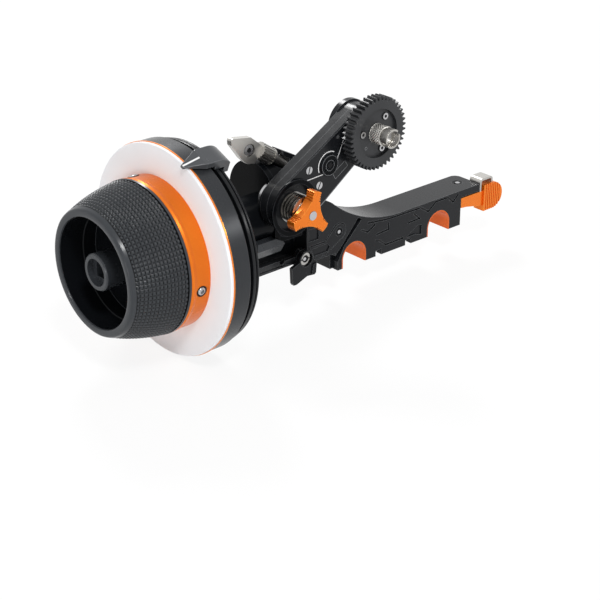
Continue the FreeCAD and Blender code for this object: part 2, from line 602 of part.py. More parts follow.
def gearbox_body():
    """The gearbox housing with its foot, hollow where the gears run."""
    body = new_body("gearbox_body")
    section = new_sketch(body, "YZ", "flange_right")
    box = box_outline("0")
    add_outline(section, box)
    pad(body, section, "box_right - flange_right")
    foot = new_sketch(body, "XZ", "-foot_back")
    add_outline(foot, [
        ("box_right", "rail_top"), ("box_right", "box_bottom + 1"), ("flange_right", "box_bottom + 1"),
        ("flange_right", "17.4"), ("foot_left", "16.2"), ("foot_left", "rail_top")])
    pad(body, foot, "foot_back + foot_front")
    case_bed_cuts(body)
    shaft_room = new_sketch(body, "YZ", "flange_right")
    add_circle(shaft_room, "axle_y", "axle_z", "bevel_bore")
    pocket(body, shaft_room, "box_right - flange_right - 2.2", ahead=True)
    cross_room_cut(body)
    front_cut(body, "-clamp_y + clamp_side", "clamp_side + block_back + 0.2", [
        clamp_point(along, up) for along, up in (
            ("-2.2", "-clamp_side"), ("clamp_hub_right + 0.5", "-clamp_side"),
            ("clamp_hub_right + 0.5", "clamp_seat"),
            ("block_end + 4", "clamp_seat"), ("block_end + 4", "block_high"), ("-2.2", "block_high"))])


def case_bed_cuts(body):
    """The flat bed that the spur pair's case and its lid sit in."""
    front_cut(body, "box_front + 2", "box_front - case_back + 2", circle_pair("case_r"))
    front_cut(body, "box_front + 2", "box_front - lid_back + 2",
        circles=[("pivot_x", "pivot_z", "case_r")])


def cross_room_cut(body):
    """Room for the bevel gear on the cross shaft."""
    front_cut(body, "case_back + 1", "case_back + 3.5", circles=[("cross_x", "axle_z", "case_cavity")])


def box_outline(grow):
    """Section of the gearbox across X: a flat foot under a half-round top, grown evenly."""
    front, back = "-box_front - " + grow, "box_back + " + grow
    shoulder = "box_top - box_corner"
    return [
        (front, "box_bottom - " + grow), (back, "box_bottom - " + grow), (back, shoulder),
        (front, shoulder, "box_corner + " + grow, "left")]


def gearbox_flange():
    """The cap on the gearbox's left end, with a bead round its rim."""
    body = new_body("gearbox_flange")
    section = new_sketch(body, "YZ", "box_left")
    add_outline(section, box_outline("flange_out"))
    add_circle(section, "axle_y", "axle_z", "flange_bore")
    pad(body, section, "flange_right - box_left")
    case_bed_cuts(body)
    cross_room_cut(body)


def neck_tube():
    """The tube between gearbox and wheel, with the dial's cover plate and two bearings."""
    tube = new_body("neck_tube")
    section = new_sketch(tube, "YZ", "tube_front")
    add_circle(section, "axle_y", "axle_z", "tube_r")
    add_circle(section, "axle_y", "axle_z", "tube_bore")
    pad(tube, section, "tube_back - tube_front")
    case_bed_cuts(tube)
    turned_x("dial_cover", [
        ("plate_hub_front", "tube_r"), ("cover_back", "tube_r"), ("cover_back", "cover_r - 1"),
        ("cover_back - 0.8", "cover_r"), ("cover_front", "cover_r"), ("cover_front", "index_bore"),
        ("plate_hub_front", "index_bore")], **AXLE)
    for name, start in (("bearing_front", "tube_front + 0.5"),
            ("bearing_rear", "tube_back - 9 - bearing_long")):
        turned_x(name, ring(start, start + " + bearing_long", "axle_r + run_fit", "tube_bore"), **AXLE)


def gear_case():
    """The cover over the offset spur pair, with the boss on which the arm swings."""
    body = plate("gear_case", circle_pair("case_r"), "case_back", "box_front")
    cavity = new_sketch(body, "XZ", "case_back")
    add_outline(cavity, circle_pair("case_cavity"))
    pocket(body, cavity, "box_front - 1.1 - case_back", ahead=True)
    front_add(body, "box_front - 0.5", "boss_front - box_front + 0.5",
        circles=[("pivot_x", "pivot_z", "boss_r")])
    front_cut(body, "boss_front", "boss_front - case_back + 1",
        circles=[("pivot_x", "pivot_z", "sleeve_r + run_fit")])
    bore = new_sketch(body, "XZ", "box_front - 2")
    add_circle(bore, "cross_x", "axle_z", "cross_shaft_r + run_fit")
    pocket(body, bore, "1.5", ahead=True)


def circle_pair(radius):
    """Outline of two equal circles about the pivot and the cross shaft, joined by tangents."""
    return capsule("pivot_x", "pivot_z", radius, "cross_x", "axle_z", radius)


def pivot_stud():
    """The lid behind the spur pair and the fixed stud on it that passes through the hollow pivot
    sleeve."""
    body = new_body("pivot_stud")
    lid = new_sketch(body, "XZ", "lid_back")
    add_circle(lid, "pivot_x", "pivot_z", "case_r")
    pad(body, lid, "case_back - lid_back")
    front_cut(body, "case_back", "case_back", circles=[("cross_x", "axle_z", "bevel_bore + 0.1")])
    front_add(body, "case_back - 1", "lobe_front - 1.9 - case_back + 1",
        circles=[("pivot_x", "pivot_z", "stud_r")])


def thumb_tab():
    """The serrated tab that frees the rail lock when it is pressed down along the gearbox's foot."""
    body = new_body("thumb_tab")
    section = new_sketch(body, "YZ", "tab_left")
    add_outline(section, [
        ("-tab_back", "tab_under"), ("-tab_back", "tab_seat"), ("-tab_wing", "tab_seat"),
        ("-tab_wing", "tab_crest"),
        ("-tab_front", "tab_high"), ("-tab_front", "tab_low"), ("-tab_wing + 0.8", "tab_under")])
    pad(body, section, "tab_right - tab_left")
    front_cut(body, "tab_front + 1", "tab_front - tab_back + 2", [
        ("tab_right - 6.5", "tab_crest + 1"), ("tab_right - 6.5", "tab_high + 0.4"),
        ("tab_right - 1.2", "23.9"),
        ("tab_right", "22.6"), ("tab_right + 1", "22.6"), ("tab_right + 1", "tab_crest + 1")])
    notch = front_cut(body, "tab_front + 1", "tab_front - tab_wing + 2", [
        ("tab_left + 1", "tab_crest + 0.5"), ("tab_left + 1.35", "tab_high - 0.4"),
        ("tab_left + 1.7", "tab_crest + 0.5")])
    steps = body.newObject("PartDesign::LinearPattern", "thumb_tab_steps")
    steps.Originals = [notch]
    steps.Direction = (notch.Profile[0], ["H_Axis"])
    steps.setExpression("Length", bound("serration_pitch * (serration_count - 1)"))
    steps.setExpression("Occurrences", bound("serration_count"))
    body.Tip = steps
    DOC.recompute()


def clamp_point(along, up):
    """A point of the clamp screw's own axes, in the XZ plane."""
    cosine, sine = "cos(clamp_slope * 1 deg)", "sin(clamp_slope * 1 deg)"
    return ("clamp_x + (%s) * %s + (%s) * %s" % (along, cosine, up, sine),
            "clamp_z - (%s) * %s + (%s) * %s" % (along, sine, up, cosine))


def clamp_lever():
    """The bright clamp lever on the gearbox: a flat handle, a splined hub and a screw in a fixed
    block."""
    block = plate("clamp_block", [
        ("block_start", "clamp_seat"), ("block_end", "clamp_seat"), ("block_end", "block_high"),
        ("5.4", "5"),
        ("6.9", "3.1"), ("block_start", "3.1")], "-block_back", "2.2", **CLAMP)
    bore = new_sketch(block, "YZ", "block_start - 1")
    add_circle(bore, "0", "0", "clamp_neck_r + run_fit")
    pocket(block, bore, "block_end - block_start + 2", ahead=True)
    screw = turned_x("clamp_screw", [
        ("clamp_hub_left", "0"), ("clamp_neck_end", "0"), ("clamp_neck_end", "clamp_neck_r"),
        ("clamp_hub_right", "clamp_neck_r"), ("clamp_hub_right", "clamp_hub_r"),
        ("clamp_hub_left", "clamp_hub_r")], **CLAMP)
    spline = new_sketch(screw, "YZ", "clamp_hub_left - 1")
    add_outline(spline, [
        ("clamp_hub_r - spline_deep", "0"), ("clamp_hub_r + 0.2", "-0.5"), ("clamp_hub_r + 0.2", "0.5")])
    around(screw, pocket(screw, spline, "clamp_hub_right - clamp_hub_left + 0.4", ahead=True), "18")
    handle = new_body("clamp_handle", **CLAMP)
    sketch = new_sketch(handle, "XZ")
    add_outline(sketch, [
        ("clamp_hub_left", "2.4"), ("-16.4", "3.3"), ("-25.4", "-0.9"), ("-26.4", "-2.9", "1.3", "left"),
        ("-25.2", "-4.4"), ("-15.9", "-7.7"), ("-11.2", "-8.4"), ("clamp_hub_left", "-6.6")])
    pad(handle, sketch, "handle_half * 2", both=True)
    front_cut(handle, "handle_half", "1.4",
        circles=[("handle_screw_along", "handle_screw_up", "handle_screw_r")])
    handle_x, handle_z = clamp_point("handle_screw_along", "handle_screw_up")
    turned_forward("handle_screw",
        ring_forward("handle_half - 1.4", "handle_half - 0.3", "1.2", "handle_screw_r - 0.5"),
                   x=handle_x, y="clamp_y", z=handle_z)


# ---------------------------------------------------------------- hand wheel

def index_ring():
    """The thin friction ring behind the wheel and the pointer that reaches over the dial."""
    turned_x("index_ring", ring("index_front", "index_back", "index_bore + run_fit", "index_r"), **AXLE)
    body = new_body("pointer", spin_x="pointer_tilt", **AXLE)
    side = new_sketch(body, "XZ")
    add_outline(side, [
        ("pointer_tip_x", "pointer_tip_r - 1"), ("pointer_tip_x + 0.7", "pointer_tip_r - 1"),
        ("dial_front - 0.4", "pointer_clear"), ("index_front - 0.7", "pointer_clear"),
        ("index_front - 0.7", "index_r"), ("index_back", "index_r"), ("index_back", "cover_r + 0.4"),
        ("cover_back + 0.4", "cover_r + 0.4"), ("cover_back + 0.4", "pointer_heel"),
        ("pointer_back", "pointer_heel"), ("pointer_back", "pointer_top - 3.2"),
        ("pointer_back - 7", "pointer_top", "pointer_turn", "left"), ("pointer_nose_x", "pointer_top"),
        ("pointer_tip_x", "pointer_tip_r")])
    pad(body, side, "pointer_half * 2", both=True)
    for hand in ("", "-"):
        nose = new_sketch(body, "XY", "pointer_top + 1")
        add_outline(nose, [
            ("pointer_tip_x - 1", hand + "0.9"), ("pointer_tip_x", hand + "0.9"),
            ("pointer_nose_x + 0.5", hand + "pointer_half"),
            ("pointer_nose_x + 0.5", hand + "(pointer_half + 1)"),
            ("pointer_tip_x - 1", hand + "(pointer_half + 1)")])
        pocket(body, nose, "10")


def wheel_head():
    """The gripped knob with its cup, the crank socket in it and the collar behind it."""
    turned_x("hand_knob", [
        ("knob_front + cup_deep", "axle_r"), ("carrier_front", "axle_r"), ("carrier_front", "index_bore"),
        ("collar_front", "index_bore"), ("collar_front", "knob_rear_r"),
        ("knob_front + 1", "knob_front_r + 0.5", "80", "left"), ("knob_front", "knob_front_r - 0.6"),
        ("knob_front", "cup_r + 0.6"), ("knob_front + 0.6", "cup_r"), ("knob_front + cup_deep", "cup_r")],
        **AXLE)
    body = turned_x("crank_socket", [
        ("knob_front + cup_deep", "0"), ("knob_front + cup_deep", "socket_r"),
        ("socket_front + 0.6", "socket_r"),
        ("socket_front", "socket_r - 0.6"), ("socket_front", "socket_bore"),
        ("socket_front + 3", "socket_bore"), ("socket_front + 3", "0")], **AXLE)
    square = new_sketch(body, "YZ", "socket_front + 3")
    add_outline(square, [
        ("-socket_square", "-socket_square"), ("socket_square", "-socket_square"),
        ("socket_square", "socket_square"), ("-socket_square", "socket_square")])
    pocket(body, square, "socket_deep", ahead=True)
    collar = turned_x("knob_collar", [
        ("collar_front", "index_bore"), ("carrier_front", "index_bore"), ("carrier_front", "dial_bore"),
        ("dial_front", "dial_bore"), ("dial_front", "collar_r"), ("collar_front + 3", "collar_r"),
        ("collar_front + 1.2", "collar_r + 0.4"), ("collar_front", "collar_r")], spin_x="collar_turn",
        **AXLE)
    hole = new_sketch(collar, "XZ", "collar_r + 1")
    add_circle(hole, "collar_step - 1.6", "0", "2.2")
    cut = pocket(collar, hole, "2.4")
    pattern = collar.newObject("PartDesign::PolarPattern", "knob_collar_holes")
    pattern.Originals = [cut]
    pattern.Axis = (hole, ["H_Axis"])
    pattern.Angle = 360
    pattern.Occurrences = 3
    collar.Tip = pattern
    DOC.recompute()
    turned_x("marking_ring", [
        ("dial_front", "dial_bore"), ("dial_back", "dial_bore"), ("dial_back", "dial_r"),
        ("dial_front + 0.3", "dial_r"), ("dial_front", "dial_r - 0.3")], **AXLE)
    turned_x("ring_trim", ring("dial_back", "carrier_front", "dial_bore", "trim_r"), **AXLE)
    turned_x("wheel_carrier", [
        ("carrier_front", "axle_r"), ("carrier_back", "axle_r"), ("carrier_back", "socket_r"),
        ("carrier_front + carrier_web", "socket_r"),
        ("carrier_front + carrier_web", "dial_r - carrier_rim"),
        ("carrier_back", "dial_r - carrier_rim"), ("carrier_back", "dial_r - 0.6"),
        ("carrier_back - 0.6", "dial_r"), ("carrier_front", "dial_r")], **AXLE)


def wheel_shaft():
    """The wheel's axle through the neck tube, with the bevel gear on its end."""
    turned_x("wheel_shaft", [
        ("knob_front + cup_deep", "0"), ("cross_x - bevel_pitch + 1.1", "0"),
        ("cross_x - bevel_pitch + 1.1", "cross_shaft_r"), ("cross_x - bevel_pitch - 1", "cross_shaft_r"),
        ("cross_x - bevel_pitch - 1", "axle_r"), ("knob_front + cup_deep", "axle_r")], **AXLE)


# ---------------------------------------------------------------- gears

def bevel_gear(label, forward, gap_turn):
    """A mitre bevel gear about the point where the axle and the cross shaft meet."""
    scale = "(bevel_pitch - bevel_face * 0.7071) / bevel_pitch"
    tip, root = "gear_module * 0.62", "gear_module * 0.75"
    face = [
        ("cross_shaft_r", "(bevel_pitch + %s) * %s" % (root, scale)),
        ("(bevel_pitch - %s) * %s" % (root, scale), "(bevel_pitch + %s) * %s" % (root, scale)),
        ("(bevel_pitch + %s) * %s" % (tip, scale), "(bevel_pitch - %s) * %s" % (tip, scale)),
        ("bevel_pitch + " + tip, "bevel_pitch - " + tip),
        ("bevel_pitch - " + root, "bevel_pitch + " + root),
        ("bevel_pitch - 1.4", "bevel_pitch + 1"), ("cross_shaft_r", "bevel_pitch + 1")]
    place = dict(x="cross_x", y="axle_y", z="axle_z")
    if forward:
        body = turned_forward(label, face, **place)
    else:
        body = turned_x(label, [("-(%s)" % along, radius) for radius, along in face], **place)
    sections = []
    for distance in ("3.6", "8.4"):
        sketch = new_sketch(body, "XZ", distance) if forward else new_sketch(body, "YZ", "-" + distance)
        corners = []
        for reach, half in (("0.81", -0.046), ("1.26", -0.208), ("1.26", 0.208), ("0.81", 0.046)):
            turn = "%s * 1 deg + atan(%s / %s)" % (gap_turn, half, reach)
            arm = "%s * sqrt(%s ^ 2 + %s ^ 2)" % (distance, reach, half)
            corners.append(("%s * cos(%s)" % (arm, turn), "%s * sin(%s)" % (arm, turn)))
        add_outline(sketch, corners)
        sections.append(sketch)
    before = body.Shape.Volume
    loft = body.newObject("PartDesign::SubtractiveLoft", label + "_gap")
    loft.Profile = sections[0]
    loft.Sections = [sections[1]]
    loft.Ruled = True
    DOC.recompute()
    if not body.Shape.Volume < before:
        raise ValueError(label + ": the tooth gap cuts nothing")
    pattern = body.newObject("PartDesign::PolarPattern", label + "_teeth")
    pattern.Originals = [loft]
    pattern.Axis = (sections[0], ["N_Axis"])
    pattern.Angle = 360
    pattern.Occurrences = 16
    body.Tip = pattern
    DOC.recompute()


def cut_teeth(body, teeth, back, front, first_gap, tip="gear_module * %d / 2 + gear_module"):
    """Cut spur teeth with involute flanks; first_gap is the turn in degrees of one tooth gap's middle."""
    pitch = "gear_module * %d / 2" % teeth
    base = "%s * cos(20 deg)" % pitch
    root = "(%s - gear_module * 1.25)" % pitch
    tip_radius = "(%s)" % (tip % teeth if "%d" in tip else tip)

    def flank(radius, side):
        lean = "(tan(acos({b} / ({r}))) * 180 deg / pi - acos({b} / ({r})))".format(b=base, r=radius)
        lean = "(90 deg / %d - (tan(20 deg) * 180 deg / pi - 20 deg) + %s" % (teeth, lean)
        return "(%d * 1 deg %s %s + gear_backlash / 4 / (%s) * 180 deg / pi))" % (first_gap, side, lean,
            pitch)

    def corner(radius, angle):
        return ("%s * cos(%s)" % (radius, angle), "%s * sin(%s)" % (radius, angle))

    foot = "(%s * 1.0001)" % base
    low = root if size(root) < size(foot) else "(%s * 0.9999)" % root
    if size(root) > size(foot):
        foot = root
    top = "(%s * 1.06)" % tip_radius
    middle = "((%s) + %s) / 2" % (pitch, top)
    sketch = new_sketch(body, "XZ", front)
    add_outline(sketch, [
        corner(low, flank(foot, "-")), corner(foot, flank(foot, "-")),
        corner("(%s)" % pitch, flank(pitch, "-")),
        corner("(%s)" % middle, flank(middle, "-")), corner(top, flank(top, "-")),
        corner(top, flank(top, "+")), corner("(%s)" % middle, flank(middle, "+")),
        corner("(%s)" % pitch, flank(pitch, "+")), corner(foot, flank(foot, "+")),
        corner(low, flank(foot, "+"))])
    gap = pocket(body, sketch, "%s - %s" % (front, back))
    around(body, gap, str(teeth))


def cross_shaft():
    """The cross shaft that takes the drive from the axle to the arm."""
    place = dict(x="cross_x", z="axle_z")
    turned_forward("cross_shaft", [
        ("0", "bevel_pitch - axle_y - 1.3"), ("cross_shaft_r", "bevel_pitch - axle_y - 1.3"),
        ("cross_shaft_r", "box_front - 0.6"), ("0", "box_front - 0.6")], **place)
    spur = turned_forward("cross_gear",
        ring_forward("spur_back", "spur_front", "cross_shaft_r", "spur_tip_r"), **place)
    cut_teeth(spur, 16, "spur_back", "spur_front", 0, tip="spur_tip_r")


def arm_gears():
    """The four equal gears in the arm: on the hollow pivot sleeve, two idlers, and on the output
    shaft."""
    tip = "gear_module * arm_teeth / 2 + gear_module"
    body = turned_forward("pivot_gear", [
        ("stud_r + run_fit", "spur_back"), ("spur_tip_r", "spur_back"), ("spur_tip_r", "spur_front"),
        ("sleeve_r", "spur_front"), ("sleeve_r", "gear_back"), (tip, "gear_back"), (tip, "gear_front"),
        ("sleeve_r", "gear_front"), ("sleeve_r", "room_front + 1.3"),
        ("stud_r + run_fit", "room_front + 1.3"),
    ], **ARM)
    cut_teeth(body, 22, "gear_back", "gear_front", 0)
    cut_teeth(body, 16, "spur_back", "spur_front", 11, tip="spur_tip_r")
    half_pitch = 180 / SIZES["arm_teeth"]
    for step in (1, 2):
        idler = turned_forward("idler_gear_%d" % step, ring_forward(
            "gear_back", "gear_front", "idler_pin_r + run_fit", tip), **on_arm(step))
        cut_teeth(idler, 22, "gear_back", "gear_front", half_pitch if step == 1 else 0)
    out = turned_forward("output_gear", [
        ("0", "arm_back + 0.1"), ("out_shaft_r", "arm_back + 0.1"), ("out_shaft_r", "gear_back"),
        (tip, "gear_back"),
        (tip, "gear_front"), ("out_shaft_r", "gear_front"), ("out_shaft_r", "lens_back - 1.8"),
        ("nut_bore", "lens_back - 1.8"), ("nut_bore", "nut_front - 4"), ("0", "nut_front - 4")],
        **on_arm(3))
    cut_teeth(out, 22, "gear_back", "gear_front", half_pitch)


def lens_gear():
    """The big gear that meshes with the lens, its hub and the hub's screws."""
    ring_body = turned_forward("drive_gear", ring_forward(
        "lens_back", "lens_front", "lens_hub_r", "gear_module * lens_teeth / 2 + gear_module"),
        **on_arm(3))
    cut_teeth(ring_body, 43, "lens_back", "lens_front", 0)
    hub = turned_forward("gear_hub", [
        ("nut_bore", "lens_back - 1.8"), ("lens_hub_r + 1.5", "lens_back - 1.8"),
        ("lens_hub_r + 1.5", "lens_back"),
        ("lens_hub_r", "lens_back"), ("lens_hub_r", "lens_hub_front"), ("nut_bore", "lens_hub_front")],
        **on_arm(3))
    screws = new_body("hub_screws", **on_arm(3))
    screws.AllowCompound = True
    sketch = new_sketch(screws, "XZ", "lens_hub_front")
    for turn in (53, 173, 293):
        angle = "(%d - arm_tilt) * 1 deg" % turn
        add_circle(sketch, "lens_screw_ring * cos(%s)" % angle, "lens_screw_ring * sin(%s)" % angle,
            "lens_screw_r")
    pad(screws, sketch, "0.7")
    nut = turned_forward("release_nut", [
        ("nut_bore + run_fit", "lens_hub_front + 0.1"), ("nut_r", "lens_hub_front + 0.1"),
        ("nut_r", "nut_front - 0.4"), ("nut_r - 0.4", "nut_front"), ("nut_r - 1.2", "nut_front"),
        ("nut_r - 1.2", "nut_front - 3.6"), ("nut_bore + run_fit", "nut_front - 3.6")], **on_arm(3))
    front_cut(nut, "nut_front", "3", [
        ("-nut_r - 1", "-nut_slot / 2"), ("nut_r + 1", "-nut_slot / 2"),
        ("nut_r + 1", "nut_slot / 2"), ("-nut_r - 1", "nut_slot / 2")])


# ---------------------------------------------------------------- swing arm

def arm_covers():
    """The arm's two half shells round the gear train."""
    outline = capsule("0", "0", "arm_hub_r", "arm_reach", "0", "arm_end_r")
    cavity = capsule("0", "0", "gear_room", "arm_reach", "0", "gear_room")
    rear = plate("arm_rear_cover", outline, "arm_back", "arm_split", **ARM)
    front_cut(rear, "arm_split", "arm_split - room_back", cavity)
    front = plate("arm_front_cover", outline, "arm_split", "arm_front", **ARM)
    face = -size("arm_front") + 0.01
    round_edges(front, "arm_bevel", lambda box: box.YMax < face, "Chamfer")
    hollow = new_sketch(front, "XZ", "arm_split")
    add_outline(hollow, cavity)
    pocket(front, hollow, "room_front - arm_split", ahead=True)
    front_cut(rear, "arm_split", "arm_split - arm_back + 1", circles=[
        ("0", "0", "boss_r + run_fit"), ("arm_reach", "0", "out_shaft_r + run_fit")])
    front_cut(front, "arm_front + 1", "arm_front - room_front + 2", circles=[
        ("0", "0", "sleeve_r + run_fit"), ("arm_reach", "0", "out_shaft_r + run_fit")])
    front_cut(front, "arm_front", "hub_recess", circles=[("0", "0", "hub_ring_bore")])
    pin_places = [("arm_reach / 3", "0", "idler_pin_r"), ("arm_reach * 2 / 3", "0", "idler_pin_r")]
    front_cut(rear, "room_back", "1.2", circles=pin_places)
    seats = new_sketch(front, "XZ", "room_front")
    for x, z, radius in pin_places:
        add_circle(seats, x, z, radius)
    pocket(front, seats, "1.4", ahead=True)
    front_cut(front, "arm_front", "1.4", circles=[("dial_along", "dial_up", "turn_pin_r + run_fit")])
    front_cut(front, "arm_front", "1",
        circles=[("16.8", "8.1", "2"), ("17.2", "-3.1", "2"), ("38.5", "8.8", "0.9")])
    for step in (1, 2):
        turned_forward("idler_pin_%d" % step, [
            ("0", "room_back - 1.2"), ("idler_pin_r", "room_back - 1.2"),
            ("idler_pin_r", "room_front + 1.4"),
            ("0", "room_front + 1.4")], **on_arm(step))
    screws = new_body("arm_screws", **ARM)
    screws.AllowCompound = True
    sketch = new_sketch(screws, "XZ", "arm_front - 1")
    add_circle(sketch, "16.8", "8.1", "2")
    add_circle(sketch, "17.2", "-3.1", "2")
    pad(screws, sketch, "1")
    turned_forward("hub_ring", ring_forward("arm_front", "hub_ring_front", "hub_ring_bore", "hub_ring_r"),
        **ARM)
    turned_forward("rear_cap", [
        ("0", "rear_cap_back"), ("rear_cap_r - 0.6", "rear_cap_back"),
        ("rear_cap_r", "rear_cap_back + 0.6"),
        ("rear_cap_r", "arm_back"), ("0", "arm_back")], **on_arm(3))


def arm_trim():
    """The turning dial on the arm and the spring stack and knob on the pivot stud."""
    dial = turned_forward("turn_dial", [
        ("0", "arm_front - 1.3"), ("turn_pin_r", "arm_front - 1.3"),
        ("turn_pin_r", "arm_front + run_fit"),
        ("turn_dial_r", "arm_front + run_fit"), ("turn_dial_r", "turn_dial_front - 0.2"),
        ("turn_dial_r - 0.2", "turn_dial_front"), ("0", "turn_dial_front")],
        x="pivot_x + cos(arm_tilt * 1 deg) * dial_along - sin(arm_tilt * 1 deg) * dial_up",
        z="pivot_z + sin(arm_tilt * 1 deg) * dial_along + cos(arm_tilt * 1 deg) * dial_up",
        tilt="arm_tilt")
    front_cut(dial, "turn_dial_front", "0.4",
        [("-4.2", "-0.5"), ("4.2", "-0.5"), ("4.2", "0.5"), ("-4.2", "0.5")])
    floor, last = "arm_front - hub_recess", "lobe_back - 0.1"
    step = "(%s - (%s)) / 4" % (last, floor)
    outer = [("%s" % ("7.6" if k % 2 else "6.4"), "%s + %s * %d" % (floor, step, k)) for k in range(5)]
    inner = [("%s" % ("5.1" if k % 2 else "3.9"), "%s + %s * %d" % (floor, step, k)) for k in range(4, -1,
        -1)]
    turned_forward("disc_springs", outer + inner, **PIVOT)
    tri_lobe_knob()
    turned_forward("knob_insert", ring_forward("lobe_front - 1.9", "lobe_front + 0.2", "0", "stud_r"),
        **PIVOT)


def tri_lobe_knob():
    """The bright knob on the stud: three straight lobes whose flanks carry short ribs."""
    knob = new_body("tri_lobe_knob", tilt="lobe_turn", **PIVOT)
    sketch = new_sketch(knob, "XZ", "lobe_back")
    lobes = []
    for turn in (0, 120, 240):
        right, left = [(
            "lobe_long * cos(%d deg) %s lobe_half * sin(%d deg)" % (turn, plus, turn),
            "lobe_long * sin(%d deg) %s lobe_half * cos(%d deg)" % (turn, minus, turn))
            for plus, minus in (("+", "-"), ("-", "+"))]
        lobes += [right + ("lobe_waist_r", "right"), left + ("lobe_tip_r", "left")]
    add_outline(sketch, lobes)
    pad(knob, sketch, "lobe_front - lobe_back")
    grips = new_sketch(knob, "XZ", "lobe_front")
    for step in range(4):
        start = "lobe_long - 0.6 - grip_pitch * %d" % step
        for hand in ("", "-"):
            add_outline(grips, [
                (start, hand + "grip_root"), (start, hand + "(lobe_half + 1)"),
                (start + " - grip_width", hand + "(lobe_half + 1)"),
                (start + " - grip_width", hand + "grip_root")])
    around(knob, pocket(knob, grips, "lobe_front - lobe_back + 1"), "3")
    front_cut(knob, "lobe_front", "lobe_front - lobe_back + 1", circles=[("0", "0", "stud_r + run_fit")])


def build():
    """Make every piece, check it and write its STEP file."""
    bridge_bar()
    rod_liners()
    bar_pins()
    lock_plate()
    rail_lock()
    eject_lever()
    latch_strap()
    dovetail_rail()
    gearbox_body()
    gearbox_flange()
    neck_tube()
    gear_case()
    pivot_stud()
    thumb_tab()
    clamp_lever()
    index_ring()
    wheel_head()
    wheel_shaft()
    bevel_gear("bevel_gear_axle", False, 180 + 11.25)
    bevel_gear("bevel_gear_cross", True, 180)
    cross_shaft()
    arm_gears()
    lens_gear()
    arm_covers()
    arm_trim()
    DOC.recompute()
    for item in DOC.Objects:
        if "Invalid" in item.State or "Error" in item.State:
            raise ValueError("%s is in state %s" % (item.Label, item.State))
    os.makedirs("parts", exist_ok=True)
    for node in NODES:
        shape = node.Shape
        if shape.isNull() or not shape.isValid():
            raise ValueError(node.Label + " has no valid shape")
        shape.exportStep("parts/%s.step" % node.Label)
        box = shape.BoundBox
        print("%-18s solids %d volume %9.1f box x %7.1f %7.1f y %6.1f %6.1f z %6.1f %6.1f" % (
            node.Label, len(shape.Solids), shape.Volume, box.XMin, box.XMax, box.YMin, box.YMax, box.ZMin,
            box.ZMax))


build()
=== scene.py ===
"""Follow focus unit: finishes, fine pieces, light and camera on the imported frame."""
from __future__ import annotations

import json
import logging
import math
from dataclasses import dataclass
from enum import Enum, IntEnum
from typing import Callable, ClassVar, Iterable, Sequence

import bmesh
import bpy
from mathutils import Matrix, Vector

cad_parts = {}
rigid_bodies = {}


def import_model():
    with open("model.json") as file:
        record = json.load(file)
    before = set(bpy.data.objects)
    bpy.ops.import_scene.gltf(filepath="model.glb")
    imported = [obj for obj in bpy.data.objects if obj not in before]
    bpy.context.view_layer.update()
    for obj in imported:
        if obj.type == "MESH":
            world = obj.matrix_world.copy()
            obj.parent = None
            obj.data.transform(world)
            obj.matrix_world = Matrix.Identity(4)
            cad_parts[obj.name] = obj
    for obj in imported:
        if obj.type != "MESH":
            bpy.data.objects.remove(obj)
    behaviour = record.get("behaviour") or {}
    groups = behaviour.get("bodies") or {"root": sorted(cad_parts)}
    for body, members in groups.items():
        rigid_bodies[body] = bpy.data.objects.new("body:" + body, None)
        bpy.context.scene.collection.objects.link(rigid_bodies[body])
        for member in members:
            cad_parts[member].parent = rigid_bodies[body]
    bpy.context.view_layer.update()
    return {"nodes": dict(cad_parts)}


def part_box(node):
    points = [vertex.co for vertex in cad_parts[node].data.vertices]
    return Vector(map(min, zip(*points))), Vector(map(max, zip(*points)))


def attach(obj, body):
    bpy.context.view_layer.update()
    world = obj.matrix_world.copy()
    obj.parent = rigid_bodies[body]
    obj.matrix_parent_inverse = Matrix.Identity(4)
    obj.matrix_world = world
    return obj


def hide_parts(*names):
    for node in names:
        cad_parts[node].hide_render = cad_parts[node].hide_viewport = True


LOG = logging.getLogger("follow_focus")
MM = 0.001
Point2 = tuple[float, float]
Point3 = tuple[float, float, float]
Outline = list[Point2]
Colour = tuple[float, float, float]
Nodes = dict[str, bpy.types.Object]
Socket = bpy.types.NodeSocket


class Slot(Enum):
    """The record's material slots."""

    BLACK = "black_anodised"
    ORANGE = "orange_anodised"
    WHITE = "white_ring"
    STAINLESS = "stainless"
    STEEL = "bare_steel"
    GEAR = "dark_gear"


class Axis(Enum):
    """What a turned piece is turned about, in its place's own axes."""

    AXLE = "along the wheel's axle, +X"
    FORWARD = "towards the front, -Y"


class MixSocket(IntEnum):
    """Places of a colour mix node's sockets, whose names repeat for each data type."""

    SHARE = 0
    RESULT = 2
    LOW = 6
    HIGH = 7


# ---------------------------------------------------------------- node helpers


